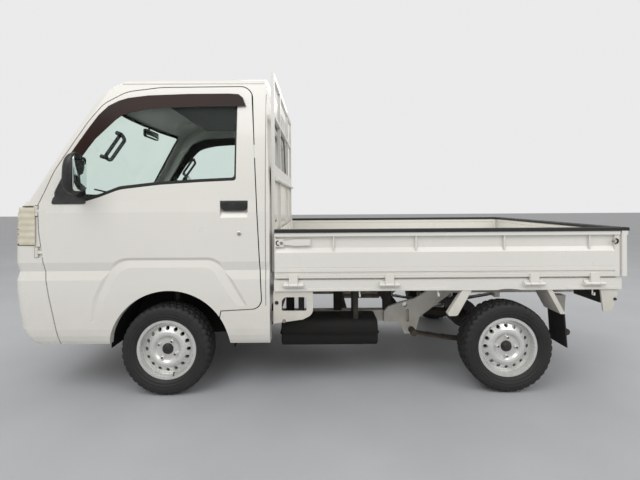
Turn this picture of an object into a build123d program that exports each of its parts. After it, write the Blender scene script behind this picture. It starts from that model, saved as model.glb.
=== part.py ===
"""A kei truck: a small cab-over truck with two doors and a drop-side cargo bed.

The frame: X runs from the nose (-X) to the tailgate (+X), Y from the passenger's side (-Y, the truck's left)
to the driver's side (+Y), Z up. The origin is on the floor, under the middle of the overall length.
All lengths are in millimetres.
"""
import math
import os

from build123d import *

# ---------------------------------------------------------------- driving dimensions
overall_length = 3395.0
half_width = 737.5
roof_height = 1790.0
nose_x = -overall_length / 2
tail_x = overall_length / 2
front_overhang = 835.0
wheelbase = 1900.0
front_axle_x = nose_x + front_overhang
rear_axle_x = front_axle_x + wheelbase
half_track = 650.0

tyre_radius = 250.0
tyre_half_width = 72.5
rim_seat_radius = 150.0
rim_flange_radius = 168.0
rim_half_width = 52.0
rim_flange_thickness = 6.0
hub_bore_radius = 20.0
running_gap = 0.3

panel_thickness = 30.0
door_thickness = 40.0
door_gap = 6.0
glass_thickness = 6.0
glass_inset = 8.0
skin_inset = 7.5
sheet = 4.0

cab_bottom_z = 289.0
bumper_top_z = 834.0
belt_z = 1080.0
pillar_top_z = 1664.0
cab_rear_x = -285.0
rear_wall_lean = 25.0
windscreen_base_back = 34.0
windscreen_slope = 0.592
cab_floor_z = 470.0
floor_thickness = 20.0
seat_deck_z = 740.0
seat_riser_x = -800.0

arch_radius = 335.0
arch_centre_x = front_axle_x + 24.0
housing_radius = 345.0
housing_inner_y = 415.0

bed_front_x = -262.0
bed_floor_z = 655.0
bed_floor_thickness = 12.0
bed_half_width = 690.0
sill_outer_y = 716.0
sill_bottom_z = 573.0
sill_top_z = 636.0
sill_rear_x = 1650.0
gate_outer_y = 733.0
gate_inner_y = 700.0
gate_front_x = -257.0
gate_rear_x = 1645.0
gate_bottom_z = 648.0
gate_top_z = 898.0
gate_cap_height = 19.0
gate_hinge_z = 610.0
hinge_radius = 8.5
hinge_pin_radius = 4.0
hinge_bore_radius = 4.3
tailgate_outer_x = 1689.0
tailgate_inner_x = 1656.0
tailgate_half_width = 731.0

rail_inner_y = 330.0
rail_width = 50.0
rail_depth = 70.0
rail_front_z = 300.0
rail_rear_z = 478.0
rail_front_x = -1578.0
rail_kick_front_x = 560.0
rail_kick_rear_x = 800.0
rail_rear_x = 1640.0
cross_width = 50.0
cross_depth = 64.0
bed_beam_low_z = 600.0

guard_top_z = 1806.0
guard_half_width = 655.0
guard_front_x = -282.0
guard_rear_x = -262.0

exhaust_y = 545.0
exhaust_z = 272.0
exhaust_radius = 19.0

door_hinge_x = -1556.0
door_hinge_y = 729.0
kingpin_y = 600.0


# ---------------------------------------------------------------- shared builders
def span_box(x_low, x_high, y_low, y_high, z_low, z_high):
    """A box given by its lowest and highest corners."""
    with BuildPart() as block:
        with Locations(((x_low + x_high) / 2, (y_low + y_high) / 2, (z_low + z_high) / 2)):
            Box(x_high - x_low, y_high - y_low, z_high - z_low)
    return block.part


def rounded_outline(outline, radii):
    """An outline with its corners rounded, each arc as short straight steps of about six degrees."""
    if radii is None:
        return list(outline)
    if not isinstance(radii, (list, tuple)):
        radii = [radii] * len(outline)
    points = []
    for index, (corner_u, corner_v) in enumerate(outline):
        before_u, before_v = outline[index - 1]
        after_u, after_v = outline[(index + 1) % len(outline)]
        in_length = math.hypot(before_u - corner_u, before_v - corner_v)
        out_length = math.hypot(after_u - corner_u, after_v - corner_v)
        in_u, in_v = (before_u - corner_u) / in_length, (before_v - corner_v) / in_length
        out_u, out_v = (after_u - corner_u) / out_length, (after_v - corner_v) / out_length
        between = math.acos(max(-1, min(1, in_u * out_u + in_v * out_v)))
        turn = math.pi - between
        if turn < 0.02 or radii[index] <= 1:
            points.append((corner_u, corner_v))
            continue
        tangent = min(radii[index] * math.tan(turn / 2), in_length * 0.49, out_length * 0.49)
        radius = tangent / math.tan(turn / 2)
        mid_u, mid_v = in_u + out_u, in_v + out_v
        mid_length = math.hypot(mid_u, mid_v)
        reach = radius / math.cos(turn / 2)
        centre_u, centre_v = corner_u + mid_u / mid_length * reach, corner_v + mid_v / mid_length * reach
        start = math.atan2(corner_v + in_v * tangent - centre_v, corner_u + in_u * tangent - centre_u)
        end = math.atan2(corner_v + out_v * tangent - centre_v, corner_u + out_u * tangent - centre_u)
        sweep = (end - start + math.pi) % (2 * math.pi) - math.pi
        steps = max(2, round(abs(sweep) / math.radians(6)))
        for step in range(steps + 1):
            angle = start + sweep * step / steps
            points.append((centre_u + radius * math.cos(angle), centre_v + radius * math.sin(angle)))
    return points


def side_prism(outline, y_low, y_high, radii=None, grow=0.0):
    """An outline of (x, z) points, run across the truck from y_low to y_high."""
    with BuildPart() as prism:
        with BuildSketch(Plane.XZ.offset(-y_high)):
            with BuildLine():
                Polyline(*rounded_outline(outline, radii), close=True)
            make_face()
            if grow:
                offset(amount=grow, kind=Kind.INTERSECTION)
        extrude(amount=y_high - y_low)
    return prism.part


def front_prism(outline, x_low, x_high, radii=None):
    """An outline of (y, z) points, run along the truck from x_low to x_high."""
    with BuildPart() as prism:
        with BuildSketch(Plane.YZ.offset(x_low)):
            with BuildLine():
                Polyline(*rounded_outline(outline, radii), close=True)
            make_face()
        extrude(amount=x_high - x_low)
    return prism.part


def bar_y(x, z, radius, y_low, y_high):
    """A round bar across the truck."""
    with BuildPart() as bar:
        with BuildSketch(Plane.XZ.offset(-y_high)):
            with Locations((x, z)):
                Circle(radius)
        extrude(amount=y_high - y_low)
    return bar.part


def bar_x(y, z, radius, x_low, x_high):
    """A round bar along the truck."""
    with BuildPart() as bar:
        with BuildSketch(Plane.YZ.offset(x_low)):
            with Locations((y, z)):
                Circle(radius)
        extrude(amount=x_high - x_low)
    return bar.part


def bar_z(x, y, radius, z_low, z_high):
    """A round upright bar."""
    with BuildPart() as bar:
        with BuildSketch(Plane.XY.offset(z_low)):
            with Locations((x, y)):
                Circle(radius)
        extrude(amount=z_high - z_low)
    return bar.part


def mirrored(solid):
    """The same piece on the truck's other side."""
    return mirror(solid, about=Plane.XZ)


def joined(*solids):
    """Solids fused where they touch, kept apart where they don't."""
    with BuildPart() as result:
        for solid in solids:
            add(solid)
    return result.part


def both_sides(solid):
    """A piece and its mirror image, as one node."""
    return joined(solid, mirrored(solid))


def cut(solid, *tools):
    """A solid with other solids taken out of it."""
    with BuildPart() as result:
        add(solid)
        for tool in tools:
            add(tool, mode=Mode.SUBTRACT)
    return result.part


def common(solid, other):
    """What two solids share."""
    with BuildPart() as result:
        add(solid)
        add(other, mode=Mode.INTERSECT)
    return result.part


def save(solid, name):
    """Writes one node."""
    solid.label = name
    export_step(solid, f"parts/{name}.step")


os.makedirs("parts", exist_ok=True)

# ---------------------------------------------------------------- the cab's outer form
# Columns: height, how far the nose lies behind nose_x, how far the front bows back at the corners,
# corner radius, half width less skin_inset's full width, and rear wall x behind cab_rear_x.
LOWER_CAB = [
    # z, nose set back, bow, corner radius, side set in, rear wall lean
    (cab_bottom_z, 110, 12, 40, 24, 0),
    (cab_bottom_z + 19, 76, 12, 42, 16, 0),
    (cab_bottom_z + 48, 52, 12, 44, 9, 0),
    (cab_bottom_z + 84, 30, 12, 46, 5, 0),
    (472, 14, 12, 46, 2, 0),
    (572, 3, 12, 46, 0, 0),
    (645, 0, 12, 46, 0, 0),
    (695, 10, 12, 44, 10, 0),
    (743, 1, 12, 46, 0, 0),
    (1016, 4, 14, 46, 0, 0),
    (belt_z, windscreen_base_back, 30, 52, 5, 0),
]
windscreen_top_run = (1800 - belt_z) * windscreen_slope
UPPER_CAB = [
    (belt_z, windscreen_base_back, 30, 52, 5, 0),
    (1440, windscreen_base_back + (1440 - belt_z) * windscreen_slope, 50, 55, 34, -rear_wall_lean * 0.5),
    (1800, windscreen_base_back + windscreen_top_run, 60, 55, 90, -rear_wall_lean),
]


def cab_section(z, nose_back, bow, corner, side_in, rear_lean, inset):
    """One level outline of the cab, drawn in by inset all round."""
    front = nose_x + nose_back + inset
    half = half_width - skin_inset - side_in - inset
    rear = cab_rear_x + rear_lean - inset
    with BuildSketch(Plane.XY.offset(z)) as section:
        with BuildLine():
            ThreePointArc((front + bow, -half), (front, 0), (front + bow, half))
            Polyline((front + bow, half), (rear, half), (rear, -half), (front + bow, -half))
        make_face()
        front_corners = section.vertices().sort_by(Axis.X)[:2]
        fillet(front_corners, max(corner - inset, 12))
    return section.sketch


roof_turn_radius = 430.0
roof_turn_swing = 8.0
roof_turn_lead = 33.75
roof_turn_rise = 5.0
roof_crown = 18.0
roof_rear_drop = 6.0
roof_edge_radius = 46.0
roof_shoulder_y = 648.2
roof_side_slope = 56.0 / 360.0


def roof_prism(front, top, turn_radius):
    """Everything behind the windscreen's line and under the roof's line, with a round turn between them."""
    reach = 400.0
    line_top_x = front + (top - belt_z) * windscreen_slope
    roof_line = [
        (front - reach * windscreen_slope, belt_z - reach),
        (line_top_x, top),
        (cab_rear_x + 200, top - roof_rear_drop),
        (cab_rear_x + 200, cab_bottom_z - 300),
        (front - reach * windscreen_slope, cab_bottom_z - 300),
    ]
    with BuildPart() as under_roof:
        with BuildSketch(Plane.XZ.offset(-900)) as profile:
            with BuildLine():
                Polyline(*roof_line, close=True)
            make_face()
            turn = [v for v in profile.vertices() if abs(v.X - line_top_x) < 1 and v.Y > belt_z]
            fillet(turn, turn_radius)
        extrude(amount=1800)
    return under_roof.part


def roof_blank(inset):
    """Everything under the roof line: the turn above the windscreen, and the crown across."""
    top = roof_height - inset
    front = nose_x + windscreen_base_back + inset
    turn_radius = roof_turn_radius - inset
    turned = roof_prism(front, top, turn_radius)
    corner_prism = roof_prism(front, top + roof_turn_rise, turn_radius)
    middle_x = front + (top - belt_z) * windscreen_slope
    for swing in (-roof_turn_swing, roof_turn_swing):
        about_line = Location((middle_x - roof_turn_lead, 0, 0)) * Location((0, 0, 0), (0, 0, swing))
        turned = common(turned, corner_prism.moved(about_line * Location((-middle_x, 0, 0))))
    shoulder_y = roof_shoulder_y - inset
    shoulder_z = top - roof_crown
    spread = roof_side_slope * (shoulder_z - 1300)
    with BuildPart() as crown:
        with BuildSketch(Plane.YZ.offset(nose_x - 400)) as profile:
            with BuildLine():
                ThreePointArc((-shoulder_y, shoulder_z), (0, top), (shoulder_y, shoulder_z))
                Polyline((shoulder_y, shoulder_z), (shoulder_y + spread, 1300), (900, 1200), (900, -200),
                         (-900, -200), (-900, 1200), (-shoulder_y - spread, 1300), (-shoulder_y, shoulder_z))
            make_face()
            shoulders = [v for v in profile.vertices() if abs(abs(v.X) - shoulder_y) < 1]
            fillet(shoulders, roof_edge_radius - inset * 0.6)
        extrude(amount=2200)
    return common(turned, crown.part)


def cab_volume(inset):
    """The cab as a solid, drawn in by inset. The inner forms run out through the open bottom."""
    below = 80.0 if inset > 0 else 0.0
    with BuildPart() as lower:
        rows = list(LOWER_CAB)
        if below:
            rows[0] = (cab_bottom_z - below, *rows[0][1:])
        for row in rows:
            add(cab_section(*row, inset))
        loft(ruled=True)
    with BuildPart() as upper:
        for row in UPPER_CAB:
            add(cab_section(*row, inset))
        loft()
    with BuildPart() as volume:
        add(upper.part)
        add(roof_blank(inset), mode=Mode.INTERSECT)
        add(lower.part)
    return volume.part


cab_outside = cab_volume(0)
cab_inside = cab_volume(panel_thickness)
door_inside = cab_volume(door_thickness)
glass_outside = cab_volume(glass_inset)
glass_inside = cab_volume(glass_inset + glass_thickness)
lens_thickness = 5.0
lamp_back = cab_volume(lens_thickness)

# ---------------------------------------------------------------- openings in the cab
door_rear_low_x = -324.0
door_rear_lean = 59.0
DOOR_OUTLINE = [
    # x, z, corner radius
    (-1555, 1056, 10), (-1551, 1000, 1), (-1547, 910, 300), (-1524, 741, 300), (-1496, 562, 400),
    (-1434, 245, 1), (-600, 245, 1), (-550, 469, 1),
    (door_rear_low_x, 480, 58),
    (door_rear_low_x - door_rear_lean, 1729, 75),
    (-900, 1725, 300), (-1096, 1700, 200), (-1222, 1628, 160), (-1297, 1529, 400), (-1470, 1247, 400),
    (-1518, 1134, 100),
]
door_points = [(x, z) for x, z, _ in DOOR_OUTLINE]
door_radii = [r for _, _, r in DOOR_OUTLINE]
WINDOW_OUTLINE = [
    # x, z, corner radius
    (-466, 1662, 10), (-468, 1188, 16), (-666, 1180, 300), (-890, 1166, 400), (-1108, 1141, 200),
    (-1216, 1100, 120), (-1292, 1077, 80), (-1452, 1072, 24), (-1468, 1120, 60), (-1402, 1260, 200),
    (-1258, 1492, 400), (-1170, 1602, 120), (-1060, 1648, 200), (-850, 1660, 300),
]
window_points = [(x, z) for x, z, _ in WINDOW_OUTLINE]
window_radii = [r for _, _, r in WINDOW_OUTLINE]
WINDSCREEN_OUTLINE = [(-628, 1112), (628, 1112), (578, 1655), (-578, 1655)]
REAR_WINDOW_OUTLINE = [(-490, 1246), (490, 1246), (470, 1600), (-470, 1600)]
side_reach = 800.0
side_depth = 596.0

door_opening = side_prism(door_points, -side_reach, -side_depth, radii=door_radii)
door_blank = side_prism(door_points, -side_reach, -side_depth, radii=door_radii, grow=-door_gap)
wheel_arch = bar_y(arch_centre_x, tyre_radius, arch_radius, -side_reach, side_reach)
below_arch = span_box(arch_centre_x - arch_radius, arch_centre_x + arch_radius, -side_reach, side_reach,
                      0, tyre_radius)
windscreen_hole = front_prism(WINDSCREEN_OUTLINE, nose_x - 100, -1000, radii=60)
rear_window_hole = front_prism(REAR_WINDOW_OUTLINE, cab_rear_x - 120, cab_rear_x + 60, radii=50)

lamp_inner_y = 425.0
lamp_top_z = 1058.0
LAMP_OUTLINE = [(-1562, bumper_top_z), (-1800, bumper_top_z), (-1800, lamp_top_z), (-1562, lamp_top_z)]
lamp_block = side_prism(LAMP_OUTLINE, -side_reach, -lamp_inner_y)

cab_shell = cut(cab_outside, cab_inside, door_opening, mirrored(door_opening), wheel_arch, below_arch,
                windscreen_hole, rear_window_hole)

# ---------------------------------------------------------------- cab panels
region_reach = 1000.0
sill_top_edge_z = 478.0
above_pillars = span_box(-2000, 0, -region_reach, region_reach, pillar_top_z, 2000)
pillar_zone = span_box(-2000, -900, -region_reach, region_reach, belt_z, pillar_top_z)
rear_zone = span_box(-900, 0, -region_reach, region_reach, sill_top_edge_z, pillar_top_z)
sill_zone = span_box(-900, 0, -region_reach, region_reach, 0, sill_top_edge_z)
nose_zone = span_box(-2000, -1400, -region_reach, region_reach, bumper_top_z, belt_z)
bumper_zone = span_box(-2000, -1200, -region_reach, region_reach, 0, bumper_top_z)

roof_panel = common(cab_shell, above_pillars)
windscreen_pillars = common(cab_shell, pillar_zone)
rear_panel = common(cab_shell, rear_zone)
cab_sills = common(cab_shell, cut(sill_zone, span_box(-900, 100, -640, 640, 0, sill_top_edge_z)))
front_panel = common(cab_shell, nose_zone)
front_bumper = common(cab_shell, bumper_zone)

# ---------------------------------------------------------------- cab glass
glass_sheet = cut(glass_outside, glass_inside)
windscreen = common(glass_sheet, windscreen_hole)
rear_window = common(glass_sheet, rear_window_hole)

# ---------------------------------------------------------------- nose: lamps and lower grille
intake_half_width = 430.0
intake_low_z = 395.0
intake_high_z = 525.0
intake_front_x = -1668.0
intake_back_x = -1656.0
nose_piece = common(cab_outside, span_box(-1800, -1500, -800, 0, bumper_top_z, belt_z))
headlamp_left = common(cut(nose_piece, lamp_back), lamp_block)
headlamps = both_sides(headlamp_left)
front_panel = cut(front_panel, lamp_block, mirrored(lamp_block))
intake_hole = span_box(-1800, -1600, -intake_half_width, intake_half_width, intake_low_z, intake_high_z)
front_bumper = cut(front_bumper, intake_hole)
slats = [span_box(intake_front_x, intake_back_x, -intake_half_width, intake_half_width, intake_low_z,
                  intake_high_z)]
for slat_z in (412, 440, 468, 496):
    slats.append(span_box(intake_front_x - 12, intake_front_x + 1, -415, 415, slat_z, slat_z + 12))
bumper_grille = joined(*slats)

# ---------------------------------------------------------------- doors, built on the -Y side
left_zone = span_box(-1800, -250, -900, -560, 200, 1790)
left_outside = common(cab_outside, left_zone)
skin_shell = cut(left_outside, door_inside)
flare_skin_y = 730.5
flare_depth = 9.0
flare_outer_run = 18.0
flare_inner_run = 50.0
flare_floor = 2.0
FLARE_VALLEY = [(-1257, 412), (-1241, 528), (-1131, 753), (-572, 752), (-421, 500)]
flare_middle = (arch_centre_x, 430.0)


def flare_outline(run):
    """The valley line round the wheel, moved outward by run."""
    points = []
    for x, z in rounded_outline(FLARE_VALLEY, [1, 300, 130, 110, 1]):
        away = math.hypot(x - flare_middle[0], z - flare_middle[1])
        points.append((x + (x - flare_middle[0]) / away * run, z + (z - flare_middle[1]) / away * run))
    return points


def flare_cone(run_at_skin, run_at_floor):
    """A solid between the flare's outline at the door's skin and at the valley's floor."""
    spread = (run_at_skin - run_at_floor) / flare_depth
    with BuildPart() as cone:
        for y, run in ((-flare_skin_y - 3, run_at_skin + spread * 3), (-flare_skin_y + flare_depth, run_at_floor)):
            with BuildSketch(Plane.XZ.offset(-y)):
                with BuildLine():
                    Polyline(*flare_outline(run), close=True)
                make_face()
        loft(ruled=True)
    return cone.part


flare_fill = common(side_prism(flare_outline(0), -flare_skin_y + 0.5, -flare_skin_y + 18),
                    span_box(-1400, -300, -800, -600, 640, 745))
flare_foot = side_prism([(-1400, 0), (-200, 0), (-200, 500), (-640, 500), (-1000, 412), (-1400, 412)], -800, -600)
flare_groove = cut(flare_cone(flare_outer_run, 0.0), flare_cone(-flare_inner_run, -flare_floor), flare_foot)
window_hole = side_prism(window_points, -side_reach, -side_depth, radii=window_radii)
side_glass = common(common(glass_sheet, left_zone), window_hole)
rear_edge_relief = side_prism([(door_rear_low_x - 18, 900), (-240, 900), (-240, 1780), (door_rear_low_x - 72, 1780)],
                              -side_reach, -side_depth)
rear_edge_step = common(
    side_prism([(door_rear_low_x - 14, 400), (-240, 400), (-240, 1780), (door_rear_low_x - 80, 1780)],
               -side_reach, -side_depth + 1),
    glass_outside,
)
door_body = cut(joined(common(skin_shell, door_blank), flare_fill), flare_groove)
door_left_panel = cut(door_body, wheel_arch, below_arch, window_hole, rear_edge_relief, rear_edge_step)

# The door handle lies in a pocket whose floor slopes out to the skin below it.
handle_front_x = -555.0
handle_rear_x = -402.0
handle_top_z = 1077.0
handle_plate_z = 1022.0
handle_pocket_z = 982.0
handle_depth = 26.0
handle_skin_y = half_width - skin_inset
handle_pocket = front_prism(
    [(-handle_skin_y - 10, handle_top_z), (-handle_skin_y + handle_depth, handle_top_z),
     (-handle_skin_y + handle_depth, handle_plate_z), (-handle_skin_y - 1, handle_pocket_z),
     (-handle_skin_y - 10, handle_pocket_z)],
    handle_front_x, handle_rear_x)
handle_plate = side_prism(
    [(handle_front_x + 3, handle_plate_z), (handle_rear_x - 3, handle_plate_z),
     (handle_rear_x - 3, handle_top_z - 1), (handle_front_x + 3, handle_top_z - 1)],
    -handle_skin_y + 8, -handle_skin_y + 16, radii=[4, 4, 24, 24])
handle_stem = span_box(handle_front_x + 20, handle_rear_x - 20, -handle_skin_y + 16,
                       -handle_skin_y + handle_depth, handle_top_z - 30, handle_top_z - 10)

# The door's two outside hinges: rings on the door turn about pins carried by the nose.
HINGE_HEIGHTS = [(774, 828), (1000, 1054)]
door_hinge_radius = 7.5
hinge_strap_length = 46.0
hinge_strap_depth = 6.0
hinge_clearance = 4.0
hinge_rings = []
hinge_pins = []
for low, high in HINGE_HEIGHTS:
    third = (high - low) / 3
    ring = cut(
        joined(
            bar_z(door_hinge_x, -door_hinge_y, door_hinge_radius, low + third + 0.5, high - third - 0.5),
            span_box(door_hinge_x, door_hinge_x + hinge_strap_length, -door_hinge_y - 1,
                     -door_hinge_y + hinge_strap_depth, low + third + 0.5, high - third - 0.5),
        ),
        bar_z(door_hinge_x, -door_hinge_y, hinge_bore_radius, low, high),
    )
    hinge_rings.append(ring)
    lugs = [bar_z(door_hinge_x, -door_hinge_y, hinge_pin_radius, low, high)]
    for end_low, end_high in ((low, low + third - 0.5), (high - third + 0.5, high)):
        lugs.append(bar_z(door_hinge_x, -door_hinge_y, door_hinge_radius, end_low, end_high))
        lugs.append(span_box(door_hinge_x - 6, door_hinge_x - 0.5, -door_hinge_y - 1, -door_hinge_y + 26,
                             end_low, end_high))
    hinge_pins.append(joined(*lugs))
    notch = bar_z(door_hinge_x, -door_hinge_y, door_hinge_radius + hinge_clearance, low - hinge_clearance,
                  high + hinge_clearance)
    strap_notch = span_box(door_hinge_x, door_hinge_x + hinge_strap_length, -door_hinge_y - 30,
                           -door_hinge_y + hinge_strap_depth + hinge_clearance, low - hinge_clearance,
                           high + hinge_clearance)
    notch_pair = both_sides(joined(notch, strap_notch))
    front_panel = cut(front_panel, notch_pair)
    front_bumper = cut(front_bumper, notch_pair)
    door_left_panel = cut(door_left_panel, notch)
door_left_panel = joined(cut(door_left_panel, handle_pocket), *hinge_rings)
lower_lug, upper_lug = [common(lug, span_box(-1600, -1480, -800, 0, 700, 1100)) for lug in hinge_pins]
lower_pair = both_sides(lower_lug)
front_bumper = joined(front_bumper, lower_pair)
front_panel = joined(front_panel, both_sides(upper_lug))
headlamps = cut(headlamps, notch_pair)
door_left_glass = side_glass

# The rain visor over the window: a thin shield standing off the door, closed along its outer edge.
# Its upper edge from front to rear, then its lower edge from rear to front, as (x, z).
VISOR_UPPER = [
    (-1400, 1296), (-1371, 1347), (-1282, 1488), (-1234, 1559), (-1184, 1611), (-1130, 1640),
    (-1076, 1657), (-965, 1671), (-741, 1679), (-516, 1680), (-460, 1676), (-437, 1657),
    (-418, 1608),
]
VISOR_LOWER = [
    (-466, 1606), (-681, 1605), (-848, 1599), (-960, 1591), (-1054, 1573), (-1109, 1553),
    (-1141, 1528), (-1246, 1421), (-1285, 1365), (-1332, 1294),
]
visor_standoff = 9.0
visor_wall = 4.0
visor_lip = 14.0
visor_zone = common(left_outside, span_box(-1700, -300, -900, -560, 1090, 1745))
visor_band = side_prism(VISOR_UPPER + VISOR_LOWER, -side_reach, -side_depth)
visor_outer = common(visor_zone.moved(Location((0, -visor_standoff - visor_wall, 0))), visor_band)
visor_skin = cut(visor_outer, visor_zone.moved(Location((0, -visor_standoff, 0))))
visor_rim = cut(
    visor_outer,
    visor_zone,
    side_prism([(x, z - visor_lip) for x, z in VISOR_UPPER] + [(-380, 1500), (-1300, 1000), (-1560, 1000)],
               -side_reach, -side_depth),
)
door_left_visor = cut(joined(visor_skin, visor_rim), visor_zone)

# The door mirror: a housing on a short arm from the window's front corner.
with BuildPart() as mirror_housing:
    with Locations((-1284, -823, 1228)):
        Box(84, 148, 208)
    fillet(mirror_housing.edges().filter_by(Axis.Z), 22)
    fillet(mirror_housing.faces().sort_by(Axis.Z)[-1].edges(), 14)
    fillet(mirror_housing.faces().sort_by(Axis.Z)[0].edges(), 14)
mirror_glass_recess = span_box(-1246, -1210, -884, -762, 1138, 1318)
mirror_arm = common(
    joined(
        span_box(-1300, -1256, -772, -700, 1134, 1168),
        span_box(-1330, -1250, -736, -700, 1120, 1184),
    ),
    side_prism([(-1370, 1060), (-1190, 1060), (-1190, 1210), (-1370, 1210)], -900, -600),
)
door_left_mirror = cut(joined(cut(mirror_housing.part, mirror_glass_recess), mirror_arm), door_left_panel,
                       door_left_glass, span_box(-1500, -1100, -690, -400, 1000, 1360))
mirror_plate = side_prism([(-1475, 1066), (-1290, 1066), (-1306, 1200), (-1330, 1340), (-1400, 1340)], -side_reach,
                          -side_depth)
mirror_plate = cut(common(cut(left_outside, glass_outside), mirror_plate), door_left_panel)
door_left_mirror = joined(door_left_mirror, mirror_plate)
door_left_mirror = max(door_left_mirror.solids(), key=lambda piece: piece.volume)
door_left_trim = joined(door_left_mirror, joined(handle_plate, handle_stem))

# ---------------------------------------------------------------- cab floor and front wheel housings
door_clear_y = 674.0
housing_thickness = 4.0
door_clear = cab_volume(door_thickness + door_gap)
housing_outer_y = half_width - skin_inset - door_thickness - door_gap
housing_cylinder = bar_y(arch_centre_x, tyre_radius, housing_radius + housing_thickness, -housing_outer_y,
                         -housing_inner_y + housing_thickness)
housing_hollow = joined(
    bar_y(arch_centre_x, tyre_radius, housing_radius, -housing_outer_y - 1, -housing_inner_y),
    span_box(arch_centre_x - 400, arch_centre_x + 400, -700, -400, -200, tyre_radius),
)
wheel_housing = common(cut(housing_cylinder, housing_hollow), door_clear)
wheel_housings = both_sides(wheel_housing)
floor_front_x = -1640.0
floor_shape = joined(
    span_box(floor_front_x, seat_riser_x, -door_clear_y, door_clear_y, cab_floor_z - floor_thickness,
             cab_floor_z),
    span_box(seat_riser_x - floor_thickness, seat_riser_x, -door_clear_y, door_clear_y,
             cab_floor_z - floor_thickness, seat_deck_z),
    span_box(seat_riser_x - floor_thickness, cab_rear_x, -door_clear_y, door_clear_y,
             seat_deck_z - floor_thickness, seat_deck_z),
    span_box(floor_front_x, floor_front_x + floor_thickness, -door_clear_y, door_clear_y,
             cab_floor_z - floor_thickness, 820),
)
cab_floor = cut(common(floor_shape, cab_inside), housing_cylinder, mirrored(housing_cylinder))

# ---------------------------------------------------------------- chassis
rail_front_top = rail_front_z + rail_depth
rail_rear_top = rail_rear_z + rail_depth
RAIL_OUTLINE = [
    (rail_front_x, rail_front_z), (rail_kick_front_x + 40, rail_front_z), (rail_kick_rear_x + 40, rail_rear_z),
    (rail_rear_x, rail_rear_z), (rail_rear_x, rail_rear_top), (rail_kick_rear_x, rail_rear_top),
    (rail_kick_front_x, rail_front_top), (rail_front_x, rail_front_top),
]
rail = side_prism(RAIL_OUTLINE, -rail_inner_y - rail_width, -rail_inner_y)
chassis_rails = both_sides(rail)
bed_under_z = bed_floor_z - bed_floor_thickness
rail_outer_y = rail_inner_y + rail_width
cross_pieces = []
for x in (-1560, -1200, -800, -330, 120, 480):
    cross_pieces.append(span_box(x, x + cross_width, -rail_inner_y, rail_inner_y, rail_front_z,
                                 rail_front_z + cross_depth))
for x in (880, 1260, 1585):
    cross_pieces.append(span_box(x, x + cross_width, -rail_inner_y, rail_inner_y, rail_rear_z,
                                 rail_rear_z + cross_depth))
for x in (-1560, -1200, -600, -330):
    foot = span_box(x, x + cross_width, -rail_outer_y, -rail_inner_y, rail_front_top, cab_floor_z - floor_thickness)
    cross_pieces += [foot, mirrored(foot)]
# Columns: where a beam under the bed starts, the top of the rail there.
for x, top in ((-225, rail_front_top), (80, rail_front_top), (400, rail_front_top), (810, rail_rear_top),
               (1180, rail_rear_top), (1560, rail_rear_top)):
    foot = span_box(x, x + cross_width, -rail_outer_y, -rail_inner_y, top, bed_beam_low_z)
    beam = span_box(x, x + cross_width, -bed_half_width, bed_half_width, bed_beam_low_z, bed_under_z)
    cross_pieces.append(joined(beam, foot, mirrored(foot)))
cross_members = joined(*cross_pieces)

# ---------------------------------------------------------------- bed
bed_deck = span_box(bed_front_x, sill_rear_x, -bed_half_width, bed_half_width, bed_under_z, bed_floor_z)
sill_wall = 8.0
sill_flange = 6.0
sill_web_y = sill_outer_y - sill_wall
SILL_OUTLINE = [
    (-sill_outer_y, sill_bottom_z), (-bed_half_width, sill_bottom_z), (-bed_half_width, sill_bottom_z + sill_wall),
    (-sill_web_y, sill_bottom_z + sill_wall), (-sill_web_y, sill_top_z - sill_flange),
    (-bed_half_width, sill_top_z - sill_flange), (-bed_half_width, bed_under_z),
    (-bed_half_width - 4, bed_under_z), (-bed_half_width - 4, sill_top_z), (-sill_outer_y, sill_top_z),
]
rear_wheel_arch = bar_y(rear_axle_x, tyre_radius, 330, -800, -600)
rib_height = 6.0
rib_pitch = 150.0
rib_count = 9
for index in range(rib_count):
    middle = rib_pitch * (index - (rib_count - 1) / 2)
    rib = front_prism([(middle - 28, bed_floor_z), (middle + 28, bed_floor_z), (middle + 18, bed_floor_z + rib_height),
                       (middle - 18, bed_floor_z + rib_height)], bed_front_x + 40, sill_rear_x - 20)
    bed_deck = joined(bed_deck, rib)
side_sill = cut(front_prism(SILL_OUTLINE, bed_front_x, sill_rear_x), rear_wheel_arch)
rear_beam_x = sill_rear_x + 14
rear_beam = span_box(sill_rear_x, rear_beam_x, -sill_outer_y, sill_outer_y, sill_bottom_z, sill_top_z)
headboard = span_box(bed_front_x, bed_front_x + 15, -bed_half_width - 4, bed_half_width + 4, bed_floor_z,
                     gate_top_z)

# Columns: depth behind the top rail's outer face, height. The gate's outer face from bottom to top, then
# its inner face from top to bottom.
GATE_FACE = [(7, gate_bottom_z), (7, 672), (12, 675), (12, 679), (7, 682), (7, 702), (9, 704), (7, 706),
             (7, 788), (19, 814), (19, 874), (0, 878), (0, gate_top_z)]
GATE_BACK = [(33, gate_top_z), (33, 878), (28, 874), (28, 700), (33, 696), (33, gate_bottom_z)]
gate_lip_depth = 7.0
side_gate_outline = [(-gate_outer_y + d, z) for d, z in GATE_FACE + GATE_BACK]
gate_slab = front_prism(side_gate_outline, gate_front_x, gate_rear_x)
gate_ends = [
    span_box(gate_front_x, gate_front_x + 6, -gate_outer_y + gate_lip_depth, -gate_inner_y, gate_bottom_z,
             gate_top_z),
    span_box(gate_rear_x - 26, gate_rear_x, -gate_outer_y + gate_lip_depth, -gate_inner_y, gate_bottom_z,
             gate_top_z),
]
GATE_HINGES = [-154, 374, 1171, 1504]
gate_hinge_parts = []
sill_hinge_parts = []
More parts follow.
